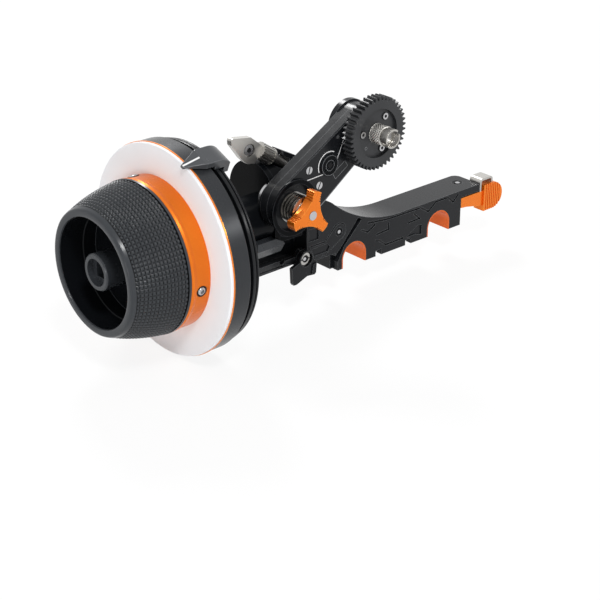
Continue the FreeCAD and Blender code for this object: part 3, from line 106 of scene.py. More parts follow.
class NodeTree:
    """A small builder for the nodes of one material or world."""

    HIGHLIGHT_RAYS: ClassVar[int] = 4
    GROOVE_RAYS: ClassVar[int] = 8
    # The cosine between true and rounded normal over which the painted edge highlight fades in.
    HIGHLIGHT_TURN: ClassVar[Point2] = (0.99, 0.90)
    # The openness over which an edge counts as an outer one and takes the painted highlight, and how far it
    # looks in edge widths.
    OUTER_OPENNESS: ClassVar[Point2] = (0.72, 0.92)
    OUTER_REACH: ClassVar[float] = 2.5
    # The openness from a groove's floor to its top, over which the painted groove shade fades out.
    GROOVE_SHADE_OPENNESS: ClassVar[Point2] = (0.58, 0.95)

    def __init__(
        self, owner: bpy.types.Material | bpy.types.World, output: str = "ShaderNodeOutputMaterial"
    ) -> None:
        """Start an owner's tree afresh.

        Args:
            owner: The material or world that holds the nodes.
            output: The Blender type of the tree's output node.
        """
        owner.use_nodes = True
        self.nodes = owner.node_tree.nodes
        self.links = owner.node_tree.links
        self.nodes.clear()
        self.output = self.nodes.new(output)

    def add(self, kind: str, **settings: object) -> bpy.types.Node:
        """Add a node and set its attributes.

        Args:
            kind: The node's Blender type.
            **settings: Attribute names and values.

        Returns:
            The new node.
        """
        node = self.nodes.new(kind)
        for key, value in settings.items():
            setattr(node, key, value)
        return node

    def link(self, source: Socket, target: Socket) -> None:
        """Join two sockets."""
        self.links.new(source, target)

    def math(self, operation: str, first: Socket | float, second: Socket | float = 0.0) -> Socket:
        """Add a math node.

        Args:
            operation: Blender's name of the operation.
            first: A socket or a number.
            second: A socket or a number.

        Returns:
            The result's socket.
        """
        node = self.add("ShaderNodeMath", operation=operation)
        for socket, value in zip(node.inputs, (first, second)):
            if isinstance(value, Socket):
                self.link(value, socket)
            else:
                socket.default_value = float(value)
        return node.outputs[0]

    def noise(self, scale: float, detail: float = 3.0, stretch: Point3 = (1.0, 1.0, 1.0)) -> Socket:
        """Noise in object space.

        Args:
            scale: Waves per metre.
            detail: Octaves.
            stretch: Scale along each axis, for brushed grain.

        Returns:
            The noise's value socket.
        """
        place = self.add("ShaderNodeTexCoord")
        mapping = self.add("ShaderNodeMapping")
        mapping.inputs["Scale"].default_value = stretch
        self.link(place.outputs["Object"], mapping.inputs["Vector"])
        noise = self.add("ShaderNodeTexNoise")
        noise.inputs["Scale"].default_value = scale
        noise.inputs["Detail"].default_value = detail
        self.link(mapping.outputs["Vector"], noise.inputs["Vector"])
        return noise.outputs["Fac"]

    def remap(self, value: Socket, source: Point2 = (0.0, 1.0), result: Point2 = (0.0, 1.0)) -> Socket:
        """Map a socket from one range to another.

        Args:
            value: The socket to map.
            source: The range it comes in.
            result: The range it is brought to.

        Returns:
            The mapped value's socket.
        """
        node = self.add("ShaderNodeMapRange")
        for name, bound in zip(("From Min", "From Max", "To Min", "To Max"), (*source, *result)):
            node.inputs[name].default_value = bound
        self.link(value, node.inputs["Value"])
        return node.outputs["Result"]

    def blend(self, share: Socket, low: Socket | Colour, high: Socket | Colour) -> Socket:
        """Blend two colours by a socket.

        Args:
            share: How much of the second colour shows, from 0 to 1.
            low: The first colour or its socket.
            high: The second colour or its socket.

        Returns:
            The mixed colour's socket.
        """
        node = self.add("ShaderNodeMix", data_type="RGBA")
        self.link(share, node.inputs[MixSocket.SHARE])
        for place, colour in ((MixSocket.LOW, low), (MixSocket.HIGH, high)):
            if isinstance(colour, Socket):
                self.link(colour, node.inputs[place])
            else:
                node.inputs[place].default_value = (*colour, 1.0)
        return node.outputs[MixSocket.RESULT]

    def openness(self, reach: float, samples: int) -> Socket:
        """How little of the piece itself stands round a point.

        Args:
            reach: Distance looked at in metres.
            samples: Rays per point.

        Returns:
            The socket, 1 where the point is free.
        """
        node = self.add("ShaderNodeAmbientOcclusion", samples=samples, only_local=True)
        node.inputs["Distance"].default_value = reach
        return node.outputs["AO"]

    def edges(self, colour: Socket, bright: Colour, width: float) -> Socket:
        """Paint highlights into a colour along a piece's outer edges.

        Args:
            colour: The finish's colour.
            bright: The colour of the painted highlight on the edges.
            width: Reach of the edge in metres.

        Returns:
            The mixed colour's socket.
        """
        rounded = self.add("ShaderNodeBevel", samples=self.HIGHLIGHT_RAYS)
        rounded.inputs["Radius"].default_value = width
        surface = self.add("ShaderNodeNewGeometry")
        turn = self.add("ShaderNodeVectorMath", operation="DOT_PRODUCT")
        self.link(rounded.outputs["Normal"], turn.inputs[0])
        self.link(surface.outputs["Normal"], turn.inputs[1])
        edge = self.remap(turn.outputs["Value"], self.HIGHLIGHT_TURN)
        openness = self.openness(self.OUTER_REACH * width, self.HIGHLIGHT_RAYS)
        outer = self.remap(openness, self.OUTER_OPENNESS)
        # Painted highlight: the bright colour is mixed in on outer edges only.
        return self.blend(self.math("MULTIPLY", edge, outer), colour, bright)

    def painted_groove_shade(self, colour: Socket, deep: Colour, reach: float) -> Socket:
        """Paint shade into a colour in grooves of a width in metres."""
        openness = self.openness(reach, self.GROOVE_RAYS)
        return self.blend(self.remap(openness, self.GROOVE_SHADE_OPENNESS), deep, colour)

    def bump(self, height: Socket, strength: float, distance: float) -> Socket:
        """A bump normal from a height socket.

        Args:
            height: The height, from 0 to 1.
            strength: How strongly it shows.
            distance: What a height of 1 stands for, in metres.

        Returns:
            The normal's socket.
        """
        node = self.add("ShaderNodeBump")
        node.inputs["Strength"].default_value = strength
        node.inputs["Distance"].default_value = distance
        self.link(height, node.inputs["Height"])
        return node.outputs["Normal"]

    def seen(self) -> Socket:
        """A socket that is 1 for the camera's own rays and for those of gloss and glass."""
        path = self.add("ShaderNodeLightPath")
        seen = self.math("MAXIMUM", path.outputs["Is Camera Ray"], path.outputs["Is Glossy Ray"])
        return self.math("MAXIMUM", seen, path.outputs["Is Transmission Ray"])

    def surface(
        self, colour: Socket, gloss: Socket, normal: Socket, metallic: float = 0.0, specular: float = 0.5
    ) -> None:
        """Join a principled shader to the output.

        Args:
            colour: The base colour.
            gloss: The roughness.
            normal: The normal with the fine bump.
            metallic: The share of metal.
            specular: The level of the plain reflection.
        """
        shader = self.add("ShaderNodeBsdfPrincipled")
        shader.inputs["Metallic"].default_value = metallic
        shader.inputs["Specular IOR Level"].default_value = specular
        self.link(colour, shader.inputs["Base Color"])
        self.link(gloss, shader.inputs["Roughness"])
        self.link(normal, shader.inputs["Normal"])
        self.link(shader.outputs["BSDF"], self.output.inputs["Surface"])


# ---------------------------------------------------------------- finishes

# How far wear takes the roughness down and up; depths and widths are in metres.
SMOOTHER = 0.05
ROUGHER = 0.06
GRAIN_DEEP = 0.00001
PEEL_DEEP = 0.00004
# The width of the painted edge highlights, and the reach of the painted groove shade.
HIGHLIGHT_WIDTH = 0.0004
GROOVE_SHADE_REACH = 0.0014


@dataclass(frozen=True)
class Finish:
    """A surface finish, from which one material is made."""

    name: str
    colour: Colour
    shade: Colour
    roughness: float
    clouds: ClassVar[float] = 60.0

    def make(self) -> bpy.types.Material:
        """Build the material.

        Returns:
            The new material.
        """
        material = bpy.data.materials.new(self.name)
        self.paint(NodeTree(material))
        return material

    def paint(self, tree: NodeTree) -> None:
        """Fill the material's tree."""
        raise NotImplementedError

    def tint(self, tree: NodeTree) -> Socket:
        """The colour, with soft clouds of the second shade."""
        return tree.blend(tree.noise(self.clouds, 2.0), self.colour, self.shade)

    def gloss(self, tree: NodeTree, wear: Socket, rougher: float = ROUGHER) -> Socket:
        """The roughness, made uneven by a socket of wear."""
        return tree.remap(wear, result=(self.roughness - SMOOTHER, self.roughness + rougher))


@dataclass(frozen=True)
class Metal(Finish):
    """Anodised, brushed or bare metal with grain, uneven gloss, a little colour variation, and optional
    painted edge highlights and painted groove shade.
    """

    metallic: float
    grain: float = 5200.0
    stretch: Point3 = (1.0, 1.0, 1.0)
    bump: float = 0.12
    specular: float = 0.5
    # The colours of the painted highlight on outer edges and of the painted shade in grooves, or None.
    edge: Colour | None = None
    groove_shade: Colour | None = None
    clouds: ClassVar[float] = 45.0
    wear: ClassVar[float] = 240.0

    def paint(self, tree: NodeTree) -> None:
        """Fill the material's tree.

        Args:
            tree: The empty tree.
        """
        colour = self.tint(tree)
        # Painted highlight on outer edges and painted shade in grooves are mixed into the colour.
        if self.edge is not None:
            colour = tree.edges(colour, self.edge, HIGHLIGHT_WIDTH)
        if self.groove_shade is not None:
            colour = tree.painted_groove_shade(colour, self.groove_shade, GROOVE_SHADE_REACH)
        gloss = self.gloss(tree, tree.noise(self.wear))
        normal = tree.bump(tree.noise(self.grain, 4.0, self.stretch), self.bump, GRAIN_DEEP)
        tree.surface(colour, gloss, normal, self.metallic, self.specular)


@dataclass(frozen=True)
class Turned(Finish):
    """Metal turned on a lathe about X: fine rings round an axle at (y, z)."""

    metallic: float
    axle: Point2
    pitch: float = 0.00035
    bump: float = 0.1
    specular: float = 0.5
    grain: ClassVar[float] = 5200.0
    rougher: ClassVar[float] = 0.07

    def paint(self, tree: NodeTree) -> None:
        """Fill the material's tree.

        Args:
            tree: The empty tree.
        """
        place = tree.add("ShaderNodeTexCoord")
        split = tree.add("ShaderNodeSeparateXYZ")
        tree.link(place.outputs["Object"], split.inputs["Vector"])
        side = tree.math("SUBTRACT", split.outputs["Y"], self.axle[0])
        rise = tree.math("SUBTRACT", split.outputs["Z"], self.axle[1])
        squares = tree.math("ADD", tree.math("MULTIPLY", side, side), tree.math("MULTIPLY", rise, rise))
        along = tree.math("ADD", tree.math("SQRT", squares), split.outputs["X"])
        rings = tree.math("SINE", tree.math("MULTIPLY", along, 2 * math.pi / self.pitch))
        grain = tree.noise(self.grain)
        height = tree.math("ADD", tree.math("MULTIPLY", rings, 0.5), grain)
        normal = tree.bump(height, self.bump, GRAIN_DEEP)
        gloss = self.gloss(tree, grain, self.rougher)
        tree.surface(self.tint(tree), gloss, normal, self.metallic, self.specular)


@dataclass(frozen=True)
class Moulded(Finish):
    """Moulded or painted surface: fine orange peel and soft gloss."""

    grain: float = 900.0
    bump: float = 0.08
    specular: float = 0.5
    clouds: ClassVar[float] = 70.0

    def paint(self, tree: NodeTree) -> None:
        """Fill the material's tree.

        Args:
            tree: The empty tree.
        """
        grain = tree.noise(self.grain)
        normal = tree.bump(grain, self.bump, PEEL_DEEP)
        tree.surface(self.tint(tree), self.gloss(tree, grain), normal, specular=self.specular)


# The wheel's axle as (y, z) in metres.
AXLE = (0.003, 0.0318)
# The edge colours of BLACK, BLACK_GLOSS, GREY and ORANGE are painted highlights on outer edges.
BLACK = Metal(
    "black_anodised_satin", (0.007, 0.0078, 0.0095), (0.012, 0.013, 0.015), 0.25, 0.0, bump=0.06,
    specular=0.18, edge=(0.12, 0.124, 0.131),
)
BLACK_TURNED = Turned(
    "black_anodised_turned", (0.006, 0.0068, 0.008), (0.010, 0.011, 0.013), 0.22, 0.0, AXLE, specular=0.22
)
BLACK_GLOSS = Metal(
    "black_anodised_bright", (0.0022, 0.0027, 0.0034), (0.004, 0.0047, 0.0058), 0.15, 0.0, bump=0.03,
    specular=0.05, edge=(0.05, 0.053, 0.06),
)
GREY = Metal(
    "graphite_anodised_satin", (0.056, 0.059, 0.064), (0.070, 0.074, 0.080), 0.24, 0.2, bump=0.06,
    specular=0.35, edge=(0.2, 0.205, 0.215),
)
GREY_TURNED = Turned(
    "graphite_anodised_turned", (0.024, 0.026, 0.029), (0.032, 0.034, 0.038), 0.26, 0.2, AXLE, specular=0.25
)
# Black anodised darkened by painted shade, for the shaded neck, the cup's lining and step, and the plate
# screw and eject pin heads.
SHADED_BLACK = Metal(
    "black_anodised_painted_shade", (0.0032, 0.0038, 0.005), (0.006, 0.0068, 0.008), 0.24, 0.0, specular=0.08
)
# The grip's valleys get a painted shade colour, darker than its tops.
DARK_GRIP = Metal(
    "grip_black_anodised", (0.042, 0.046, 0.051), (0.034, 0.037, 0.042), 0.22, 0.0, bump=0.05, specular=0.20,
    groove_shade=(0.0015, 0.002, 0.0025),
)
DARK_RIM = Metal(
    "socket_dark_anodised", (0.026, 0.029, 0.033), (0.038, 0.042, 0.048), 0.26, 0.2, specular=0.35
)
ORANGE = Metal(
    "orange_anodised_satin", (0.84, 0.20, 0.010), (0.76, 0.165, 0.006), 0.25, 0.6, bump=0.06,
    edge=(0.95, 0.36, 0.05),
)
ORANGE_TURNED = Turned("orange_anodised_turned", (0.84, 0.20, 0.010), (0.76, 0.165, 0.006), 0.24, 0.65, AXLE)
# The orange anodising darkened by painted shade, for the liners seen inside their saddles.
ORANGE_SHADED = Metal("orange_anodised_painted_shade", (0.70, 0.125, 0.006), (0.62, 0.100, 0.005), 0.30, 0.5, bump=0.05)
WHITE = Moulded(
    "white_marking_surface", (0.845, 0.87, 0.895), (0.815, 0.84, 0.865), 0.6, 700.0, 0.05, specular=0.12
)
STAINLESS = Metal(
    "stainless_brushed", (0.56, 0.545, 0.515), (0.44, 0.43, 0.41), 0.35, 1.0, 5200.0, (1.0, 5.0, 1.0), 0.1
)
STEEL = Metal("bare_machined_steel", (0.56, 0.56, 0.57), (0.45, 0.45, 0.46), 0.24, 1.0, bump=0.05)
SPRING = Metal("spring_steel_dark", (0.50, 0.49, 0.47), (0.40, 0.39, 0.375), 0.20, 1.0, bump=0.04)
GEAR_BLACK = Moulded("gear_black_moulded", (0.018, 0.019, 0.021), (0.028, 0.029, 0.032), 0.38, specular=0.35)
INK = Moulded("white_engraving_fill", (0.80, 0.80, 0.80), (0.74, 0.74, 0.74), 0.6)
# Bright metal marks, and the painted highlight along the arm's lower bevel.
LINE = Metal("bright_line_and_painted_highlight", (0.22, 0.225, 0.235), (0.16, 0.165, 0.172), 0.34, 0.6)
# Painted shadow for driver recesses, screw slots and the gaps round screw heads.
SHADOW = Moulded("painted_recess_shadow", (0.006, 0.006, 0.007), (0.010, 0.010, 0.011), 0.6, specular=0.15)


class Palette:
    """Makes each finish once and hands it out."""

    def __init__(self) -> None:
        """Start empty."""
        self.made: dict[str, bpy.types.Material] = {}

    def get(self, finish: Finish) -> bpy.types.Material:
        """The material of a finish.

        Args:
            finish: The finish's description.

        Returns:
            The one material made from it.
        """
        if finish.name not in self.made:
            self.made[finish.name] = finish.make()
        return self.made[finish.name]


PALETTE = Palette()


# ---------------------------------------------------------------- mesh helpers

# Angles are in degrees, distances in metres.
SHARP_ANGLE = 35.0
DOUBLE_POINT = 1e-7
BROKEN_EDGE_ANGLE = 32.0
WELD_REACH = 1e-6
POINTS_PER_LOBE = 8


@dataclass(frozen=True)
class Place:
    """Where a sub-assembly's own axes lie: an origin in millimetres and a turn."""

    origin: Point3
    turn: Matrix

    def point(self, x: float, y: float, z: float) -> Vector:
        """A local point in millimetres as a point of the row frame in metres."""
        return (Vector(self.origin) + self.turn @ Vector((x, y, z))) * MM

    def at(self, x: float, y: float, z: float) -> Place:
        """The same axes moved to a local point in millimetres."""
        return Place(tuple(self.point(x, y, z) / MM), self.turn)


def tilt(degrees: float) -> Matrix:
    """A turn that lifts +X towards +Z."""
    return Matrix.Rotation(math.radians(-degrees), 3, "Y")


# The arm's pivot, its tilt in degrees and its length in millimetres, and the axes that follow from them.
PIVOT = (-78.7, 0.0, 43.2)
ARM_TILT = 32.7
ARM_REACH = 52.8
ARM = Place(PIVOT, tilt(ARM_TILT))
LENS = Place(tuple(Vector(PIVOT) + tilt(ARM_TILT) @ Vector((ARM_REACH, 0, 0))), tilt(ARM_TILT))
LEVEL = Matrix.Identity(3)
ROW = Place((0.0, 0.0, 0.0), LEVEL)
WHEEL = Place((0.0, 3.0, 31.8), LEVEL)


def finish_mesh(mesh: bpy.types.Mesh) -> None:
    """Shade a mesh smooth and keep its sharp edges."""
    mesh.shade_smooth()
    mesh.set_sharp_from_angle(angle=math.radians(SHARP_ANGLE))


def new_piece(name: str, mesh: bpy.types.Mesh, body: str, finish: Finish) -> bpy.types.Object:
    """Link a mesh as a piece that rides on a body.

    Args:
        name: The piece's name.
        mesh: Its mesh, in the row frame.
        body: The CAD body it moves with.
        finish: Its finish.

    Returns:
        The new object.
    """
    piece = bpy.data.objects.new(name, mesh)
    bpy.context.scene.collection.objects.link(piece)
    mesh.name = name
    mesh.materials.append(PALETTE.get(finish))
    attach(piece, body)
    return piece


def mesh_from(points: Sequence[Vector], faces: Sequence[Sequence[int]]) -> bpy.types.Mesh:
    """A mesh from points and faces, its normals pointing out.

    Args:
        points: The points, in the row frame.
        faces: Each face as numbers of points.

    Returns:
        The mesh, with double points joined.
    """
    mesh = bpy.data.meshes.new("mesh")
    mesh.from_pydata([tuple(p) for p in points], [], [tuple(f) for f in faces])
    cleaned = bmesh.new()
    cleaned.from_mesh(mesh)
    bmesh.ops.remove_doubles(cleaned, verts=cleaned.verts, dist=DOUBLE_POINT)
    bmesh.ops.recalc_face_normals(cleaned, faces=cleaned.faces)
    cleaned.to_mesh(mesh)
    cleaned.free()
    finish_mesh(mesh)
    return mesh


def lathe(
    profile: Sequence[Point2],
    place: Place,
    axis: Axis = Axis.AXLE,
    steps: int = 128,
    shape: Callable[[float, float, float], float] | None = None,
) -> bpy.types.Mesh:
    """Turn a closed profile about an axis of a place.

    Args:
        profile: (distance along the axis, radius) pairs in millimetres.
        place: The local axes.
        axis: The axis that the profile turns about.
        steps: Points round the axis.
        shape: Gives a radius from (along, radius, angle), for knurls.

    Returns:
        The mesh, in the row frame.
    """
    points: list[Vector] = []
    for along, radius in profile:
        for step in range(steps):
            angle = 2 * math.pi * step / steps
            reach = shape(along, radius, angle) if shape else radius
            side, rise = reach * math.cos(angle), reach * math.sin(angle)
            local = (along, side, rise) if axis is Axis.AXLE else (side, -along, rise)
            points.append(place.point(*local))
    faces = []
    rows = len(profile)
    for row in range(rows):
        after = (row + 1) % rows
        for step in range(steps):
            turn = (step + 1) % steps
            faces.append((row * steps + step, row * steps + turn, after * steps + turn, after * steps + step))
    return mesh_from(points, faces)


def slab(
    outline: Sequence[Point2], back: float, front: float, place: Place = ROW, soft: float = 0.0
) -> bpy.types.Mesh:
    """A flat piece: an outline in the place's XZ plane between two distances forward of it.

    Args:
        outline: (x, z) pairs in millimetres, in order.
        back: Distance forward of the plane of its rear face.
        front: Distance forward of its front face.
        place: The local axes.
        soft: Bevel width in millimetres, or 0.

    Returns:
        The mesh, in the row frame.
    """
    count = len(outline)
    points = [place.point(x, -depth, z) for depth in (back, front) for x, z in outline]
    faces = [tuple(range(count)), tuple(range(count, 2 * count))]
    faces += [(i, (i + 1) % count, count + (i + 1) % count, count + i) for i in range(count)]
    mesh = mesh_from(points, faces)
    if soft > 0:
        shaped = bmesh.new()
        shaped.from_mesh(mesh)
        edges = shaped.edges[:]
        bmesh.ops.bevel(shaped, geom=edges, offset=soft * MM, segments=2, affect="EDGES", clamp_overlap=True)
        shaped.to_mesh(mesh)
        shaped.free()
        finish_mesh(mesh)
    return mesh


def arc_points(x: float, z: float, radius: float, start: float, end: float, steps: int = 24) -> Outline:
    """Points along an arc about (x, z) in millimetres, between two angles in degrees."""
    angles = [math.radians(start + (end - start) * k / steps) for k in range(steps + 1)]
    return [(x + radius * math.cos(a), z + radius * math.sin(a)) for a in angles]


def ribbon(path: Sequence[Point2], width: float) -> Outline:
    """The outline of a line of even width along a path.

    Args:
        path: The line's middle, in millimetres.
        width: The line's width.

    Returns:
        The outline, down one side and back along the other.
    """
    left, right = [], []
    for index, here in enumerate(path):
        before, after = path[max(index - 1, 0)], path[min(index + 1, len(path) - 1)]
        run = Vector((after[0] - before[0], after[1] - before[1])).normalized() * (width / 2)
        left.append((here[0] - run.y, here[1] + run.x))
        right.append((here[0] + run.y, here[1] - run.x))
    return left + right[::-1]


def merge(meshes: Iterable[bpy.types.Mesh]) -> bpy.types.Mesh:
    """Join meshes into one.

    Args:
        meshes: The meshes, in the same frame.

    Returns:
        The joined mesh.
    """
    whole = bmesh.new()
    for mesh in meshes:
        whole.from_mesh(mesh)
    joined = bpy.data.meshes.new("mesh")
    whole.to_mesh(joined)
    whole.free()
    finish_mesh(joined)
    return joined


def disc_outline(x: float, z: float, radius: float, steps: int = 40) -> Outline:
    """A circle as an outline."""
    return arc_points(x, z, radius, 0.0, 360.0 * (steps - 1) / steps, steps - 1)


def lobed_outline(x: float, z: float, radius: float, lobes: int = 6, depth: float = 0.16) -> Outline:
    """A driver recess with rounded lobes as an outline.

    Args:
        x: The centre's x in millimetres.
        z: The centre's z.
        radius: The reach of the lobes.
        lobes: How many lobes there are.
        depth: How far the outline falls in between them, as a share of the radius.

    Returns:
        The outline.
    """
    outline = []
    points = lobes * POINTS_PER_LOBE
    for step in range(points):
        angle = 2 * math.pi * step / points
        reach = radius * (1 - depth * (1 - math.cos(lobes * angle)) / 2)
        outline.append((x + reach * math.cos(angle), z + reach * math.sin(angle)))
    return outline


def slot_outline(reach: float, half: float = 0.28) -> Outline:
    """A straight driver slot as an outline round the origin."""
    return [(-reach, -half), (reach, -half), (reach, half), (-reach, half)]


def front_of(node: str) -> Point3:
    """The middle of a CAD node's forward face: x, z and distance forward, in millimetres."""
    low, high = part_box(node)
    return (low.x + high.x) / 2 / MM, (low.z + high.z) / 2 / MM, -low.y / MM


def recess(
    name: str, node: str, body: str, outline: Callable[[float, float, float], Outline], radius: float
) -> None:
    """A disc of painted shadow, standing for a driver recess of a radius in millimetres, on the forward face
    of a one-solid screw.
    """
    x, z, front = front_of(node)
    new_piece(name, slab(outline(x, z, radius), front - 0.3, front + 0.02), body, SHADOW)


# ---------------------------------------------------------------- sub-assemblies


@dataclass
class SubAssembly:
    """A group of pieces that belong together, with the frame's CAD nodes."""

    nodes: Nodes

    def dress(self, finish: Finish, *names: str) -> None:
        """Give CAD nodes a finish.

        Args:
            finish: The finish.
            *names: Node names.
        """
        for name in names:
            for holder in self.nodes[name].material_slots:
                holder.material = PALETTE.get(finish)

    def soften(self, width: float, *names: str) -> None:
        """Break the sharp edges of CAD nodes so that they catch the light.

        Args:
            width: The broken edge's width in millimetres.
            *names: Node names.
        """
        for name in names:
            weld = self.nodes[name].modifiers.new("weld", "WELD")
            weld.merge_threshold = WELD_REACH
            edge = self.nodes[name].modifiers.new("edge", "BEVEL")
            edge.width = width * MM
            edge.segments = 2
            edge.limit_method = "ANGLE"
            edge.angle_limit = math.radians(BROKEN_EDGE_ANGLE)
            level = self.nodes[name].modifiers.new("level", "WEIGHTED_NORMAL")
            level.weight = 50
            level.keep_sharp = True


@dataclass
class HandWheel(SubAssembly):
    """The gripped knob, its cup and socket, the collar, the white marking ring and the carrier."""

    front: float = -178.4
    rear: float = -150.5
    front_r: float = 30.0
    rear_r: float = 36.8
    belly_r: float = 80.0
    cup_r: float = 26.2
    cup_deep: float = 20.0
    bore_r: float = 4.05
    lip: float = 2.2
    rear_band: float = 1.6
    teeth_round: int = 98
    teeth_along: int = 14
    facets: int = 6
    tooth_high: float = 0.7
    tooth_steep: float = 1.2
    skin: float = 0.02
    lining_r: float = 26.05
    lining_bore_r: float = 8.0
    step_r: float = 25.6
    step_long: float = 7.0
    collar_r: float = 36.3
    collar_x: float = -144.8
    screw_turns: tuple[float, float, float] = (70.0, 190.0, 310.0)

    def belly(self, along: float) -> float:
        """Radius of the knob's swelling side at a place along the axle.

        Args:
            along: The place in millimetres.

        Returns:
            The radius in millimetres.
        """
        x_a, r_a, x_b, r_b = self.rear, self.rear_r, self.front + 1.0, self.front_r
        chord = math.hypot(x_b - x_a, r_b - r_a)
        rise = math.sqrt(self.belly_r ** 2 - chord ** 2 / 4)
        centre_x = (x_a + x_b) / 2 - (r_b - r_a) / chord * rise
        centre_r = (r_a + r_b) / 2 + (x_b - x_a) / chord * rise
        return centre_r + math.sqrt(self.belly_r ** 2 - (along - centre_x) ** 2)

    def knurl(self, along: float, radius: float, angle: float) -> float:
        """Radius with the raised square pyramids of the grip.

        Args:
            along: The place along the axle in millimetres.
            radius: The plain radius there.
            angle: The angle round the axle in radians.

        Returns:
            The radius with the pyramid's height.
        """
        if abs(radius - self.belly(along)) > self.skin:
            return radius
        start, end = self.front + self.lip, self.rear - self.rear_band
        if not start <= along <= end:
            return radius
        across = (along - start) / (end - start) * self.teeth_along
        around = angle / (2 * math.pi) * self.teeth_round
        ridge = min(1 - abs(2 * (across % 1.0) - 1), 1 - abs(2 * (around % 1.0) - 1))
        return radius - self.tooth_high * (1 - min(1.0, self.tooth_steep * ridge))

    def grip(self) -> None:
        """The knob with its knurled grip, in place of the plain CAD knob."""
        start, end = self.front + self.lip, self.rear - self.rear_band
        rows = self.teeth_along * self.facets
        places = [self.rear - 0.4, end + 0.3, end + 0.02]
        places += [end - (end - start) * k / rows for k in range(rows + 1)]
        places += [start - 0.02, self.front + 1.1]
        outer = [(self.rear, self.rear_r - 0.4)] + [(along, self.belly(along)) for along in places]
        front, edge, cup_r = self.front, self.front_r, self.cup_r
        rim = [(front + 0.45, edge - 0.25), (front + 0.1, edge - 0.7), (front, edge - 1.2)]
        rim += [(front, cup_r + 0.7), (front + 0.2, cup_r + 0.2), (front + 0.7, cup_r)]
        floor = front + self.cup_deep
        cup = [(floor - 1.0, cup_r), (floor - 0.3, cup_r - 0.3), (floor, cup_r - 1.0)]
        cup += [(floor, self.bore_r), (self.rear, self.bore_r)]
        steps = self.teeth_round * self.facets
        mesh = lathe(outer + rim + cup, WHEEL, steps=steps, shape=self.knurl)
        piece = new_piece("knob_grip", mesh, "wheel", DARK_GRIP)
        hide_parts("hand_knob")

    def cup_shade_lining(self) -> None:
        """A thin sheet of painted shade lining the cup, and a thin step on its inner wall in the same painted
        shade.
        """
        floor = self.front + self.cup_deep
        start, wall = self.front + 0.9, self.cup_r + 0.05
        lining = [(start, wall), (start, self.lining_r), (floor - 0.05, self.lining_r)]
        lining += [(floor - 0.05, self.lining_bore_r), (floor + 0.2, self.lining_bore_r), (floor + 0.2, wall)]
        new_piece("cup_liner", lathe(lining, WHEEL, steps=160), "wheel", SHADED_BLACK)
        start, outer = floor - self.step_long, self.step_r + 0.55
        step = [(start, outer), (start + 0.4, self.step_r)]
        step += [(floor - 0.05, self.step_r), (floor - 0.05, outer)]
        new_piece("cup_step", lathe(step, WHEEL, steps=160), "wheel", SHADED_BLACK)

    def collar_screws(self) -> None:
        """Button-head screws let into the collar, each ringed by painted shadow in its seat."""
        head = [(-1.1, 0.0), (-1.1, 2.1), (-0.1, 2.1), (0.4, 1.75), (0.6, 1.3), (0.55, 1.0)]
        head += [(-0.4, 0.9), (-0.4, 0.0)]
        seat = [(-1.2, 2.15), (-1.2, 2.75), (0.12, 2.75), (0.12, 2.15)]
        along = Vector((1, 0, 0))
        for number, degrees in enumerate(self.screw_turns, start=1):
            outward = Matrix.Rotation(math.radians(degrees), 3, "X") @ Vector((0, 1, 0))
            axes = Matrix((outward, along, outward.cross(along))).transposed()
            origin = Vector(WHEEL.origin) + Vector((self.collar_x, 0, 0)) + outward * self.collar_r
            place = Place(tuple(origin), axes)
            new_piece(f"collar_screw_{number}", lathe(head, place, steps=36), "wheel", STEEL)
            new_piece(f"screw_seat_{number}", lathe(seat, place, steps=36), "wheel", SHADOW)

    def build(self) -> None:
        """Make the wheel's pieces and dress its nodes."""
        self.grip()
        self.cup_shade_lining()
        self.collar_screws()
        self.dress(ORANGE_TURNED, "knob_collar")
        self.dress(ORANGE, "ring_trim")
        self.dress(WHITE, "marking_ring")
        self.dress(GREY_TURNED, "wheel_carrier")
        self.dress(DARK_RIM, "crank_socket")
        self.dress(STEEL, "wheel_shaft", "bevel_gear_axle")
        self.soften(0.25, "wheel_carrier", "crank_socket")


@dataclass
class IndexRing(SubAssembly):
    """The friction ring behind the dial and its pointer with a white line on the nose."""

    lean: float = 23.3
    line_ends: tuple[Point2, Point2] = ((-141.7, 52.1), (-133.0, 54.37))
    line_half: float = 0.45

    def line(self) -> None:
        """The white line down the pointer's nose."""
        place = Place(WHEEL.origin, Matrix.Rotation(math.radians(self.lean), 3, "X"))
        points = []
        for lift in (-0.05, 0.06):
            for x, z in self.line_ends:
                points += [place.point(x, side, z + lift) for side in (-self.line_half, self.line_half)]
        faces = [(0, 1, 3, 2), (4, 5, 7, 6), (0, 1, 5, 4), (2, 3, 7, 6), (0, 2, 6, 4), (1, 3, 7, 5)]
        new_piece("pointer_line", mesh_from(points, faces), "index", INK)

    def build(self) -> None:
        """Make the line and dress the nodes."""
        self.line()
        self.dress(BLACK_TURNED, "index_ring")
        self.dress(GREY, "pointer")
        self.soften(0.35, "pointer")
        self.soften(0.25, "index_ring", "dial_cover")


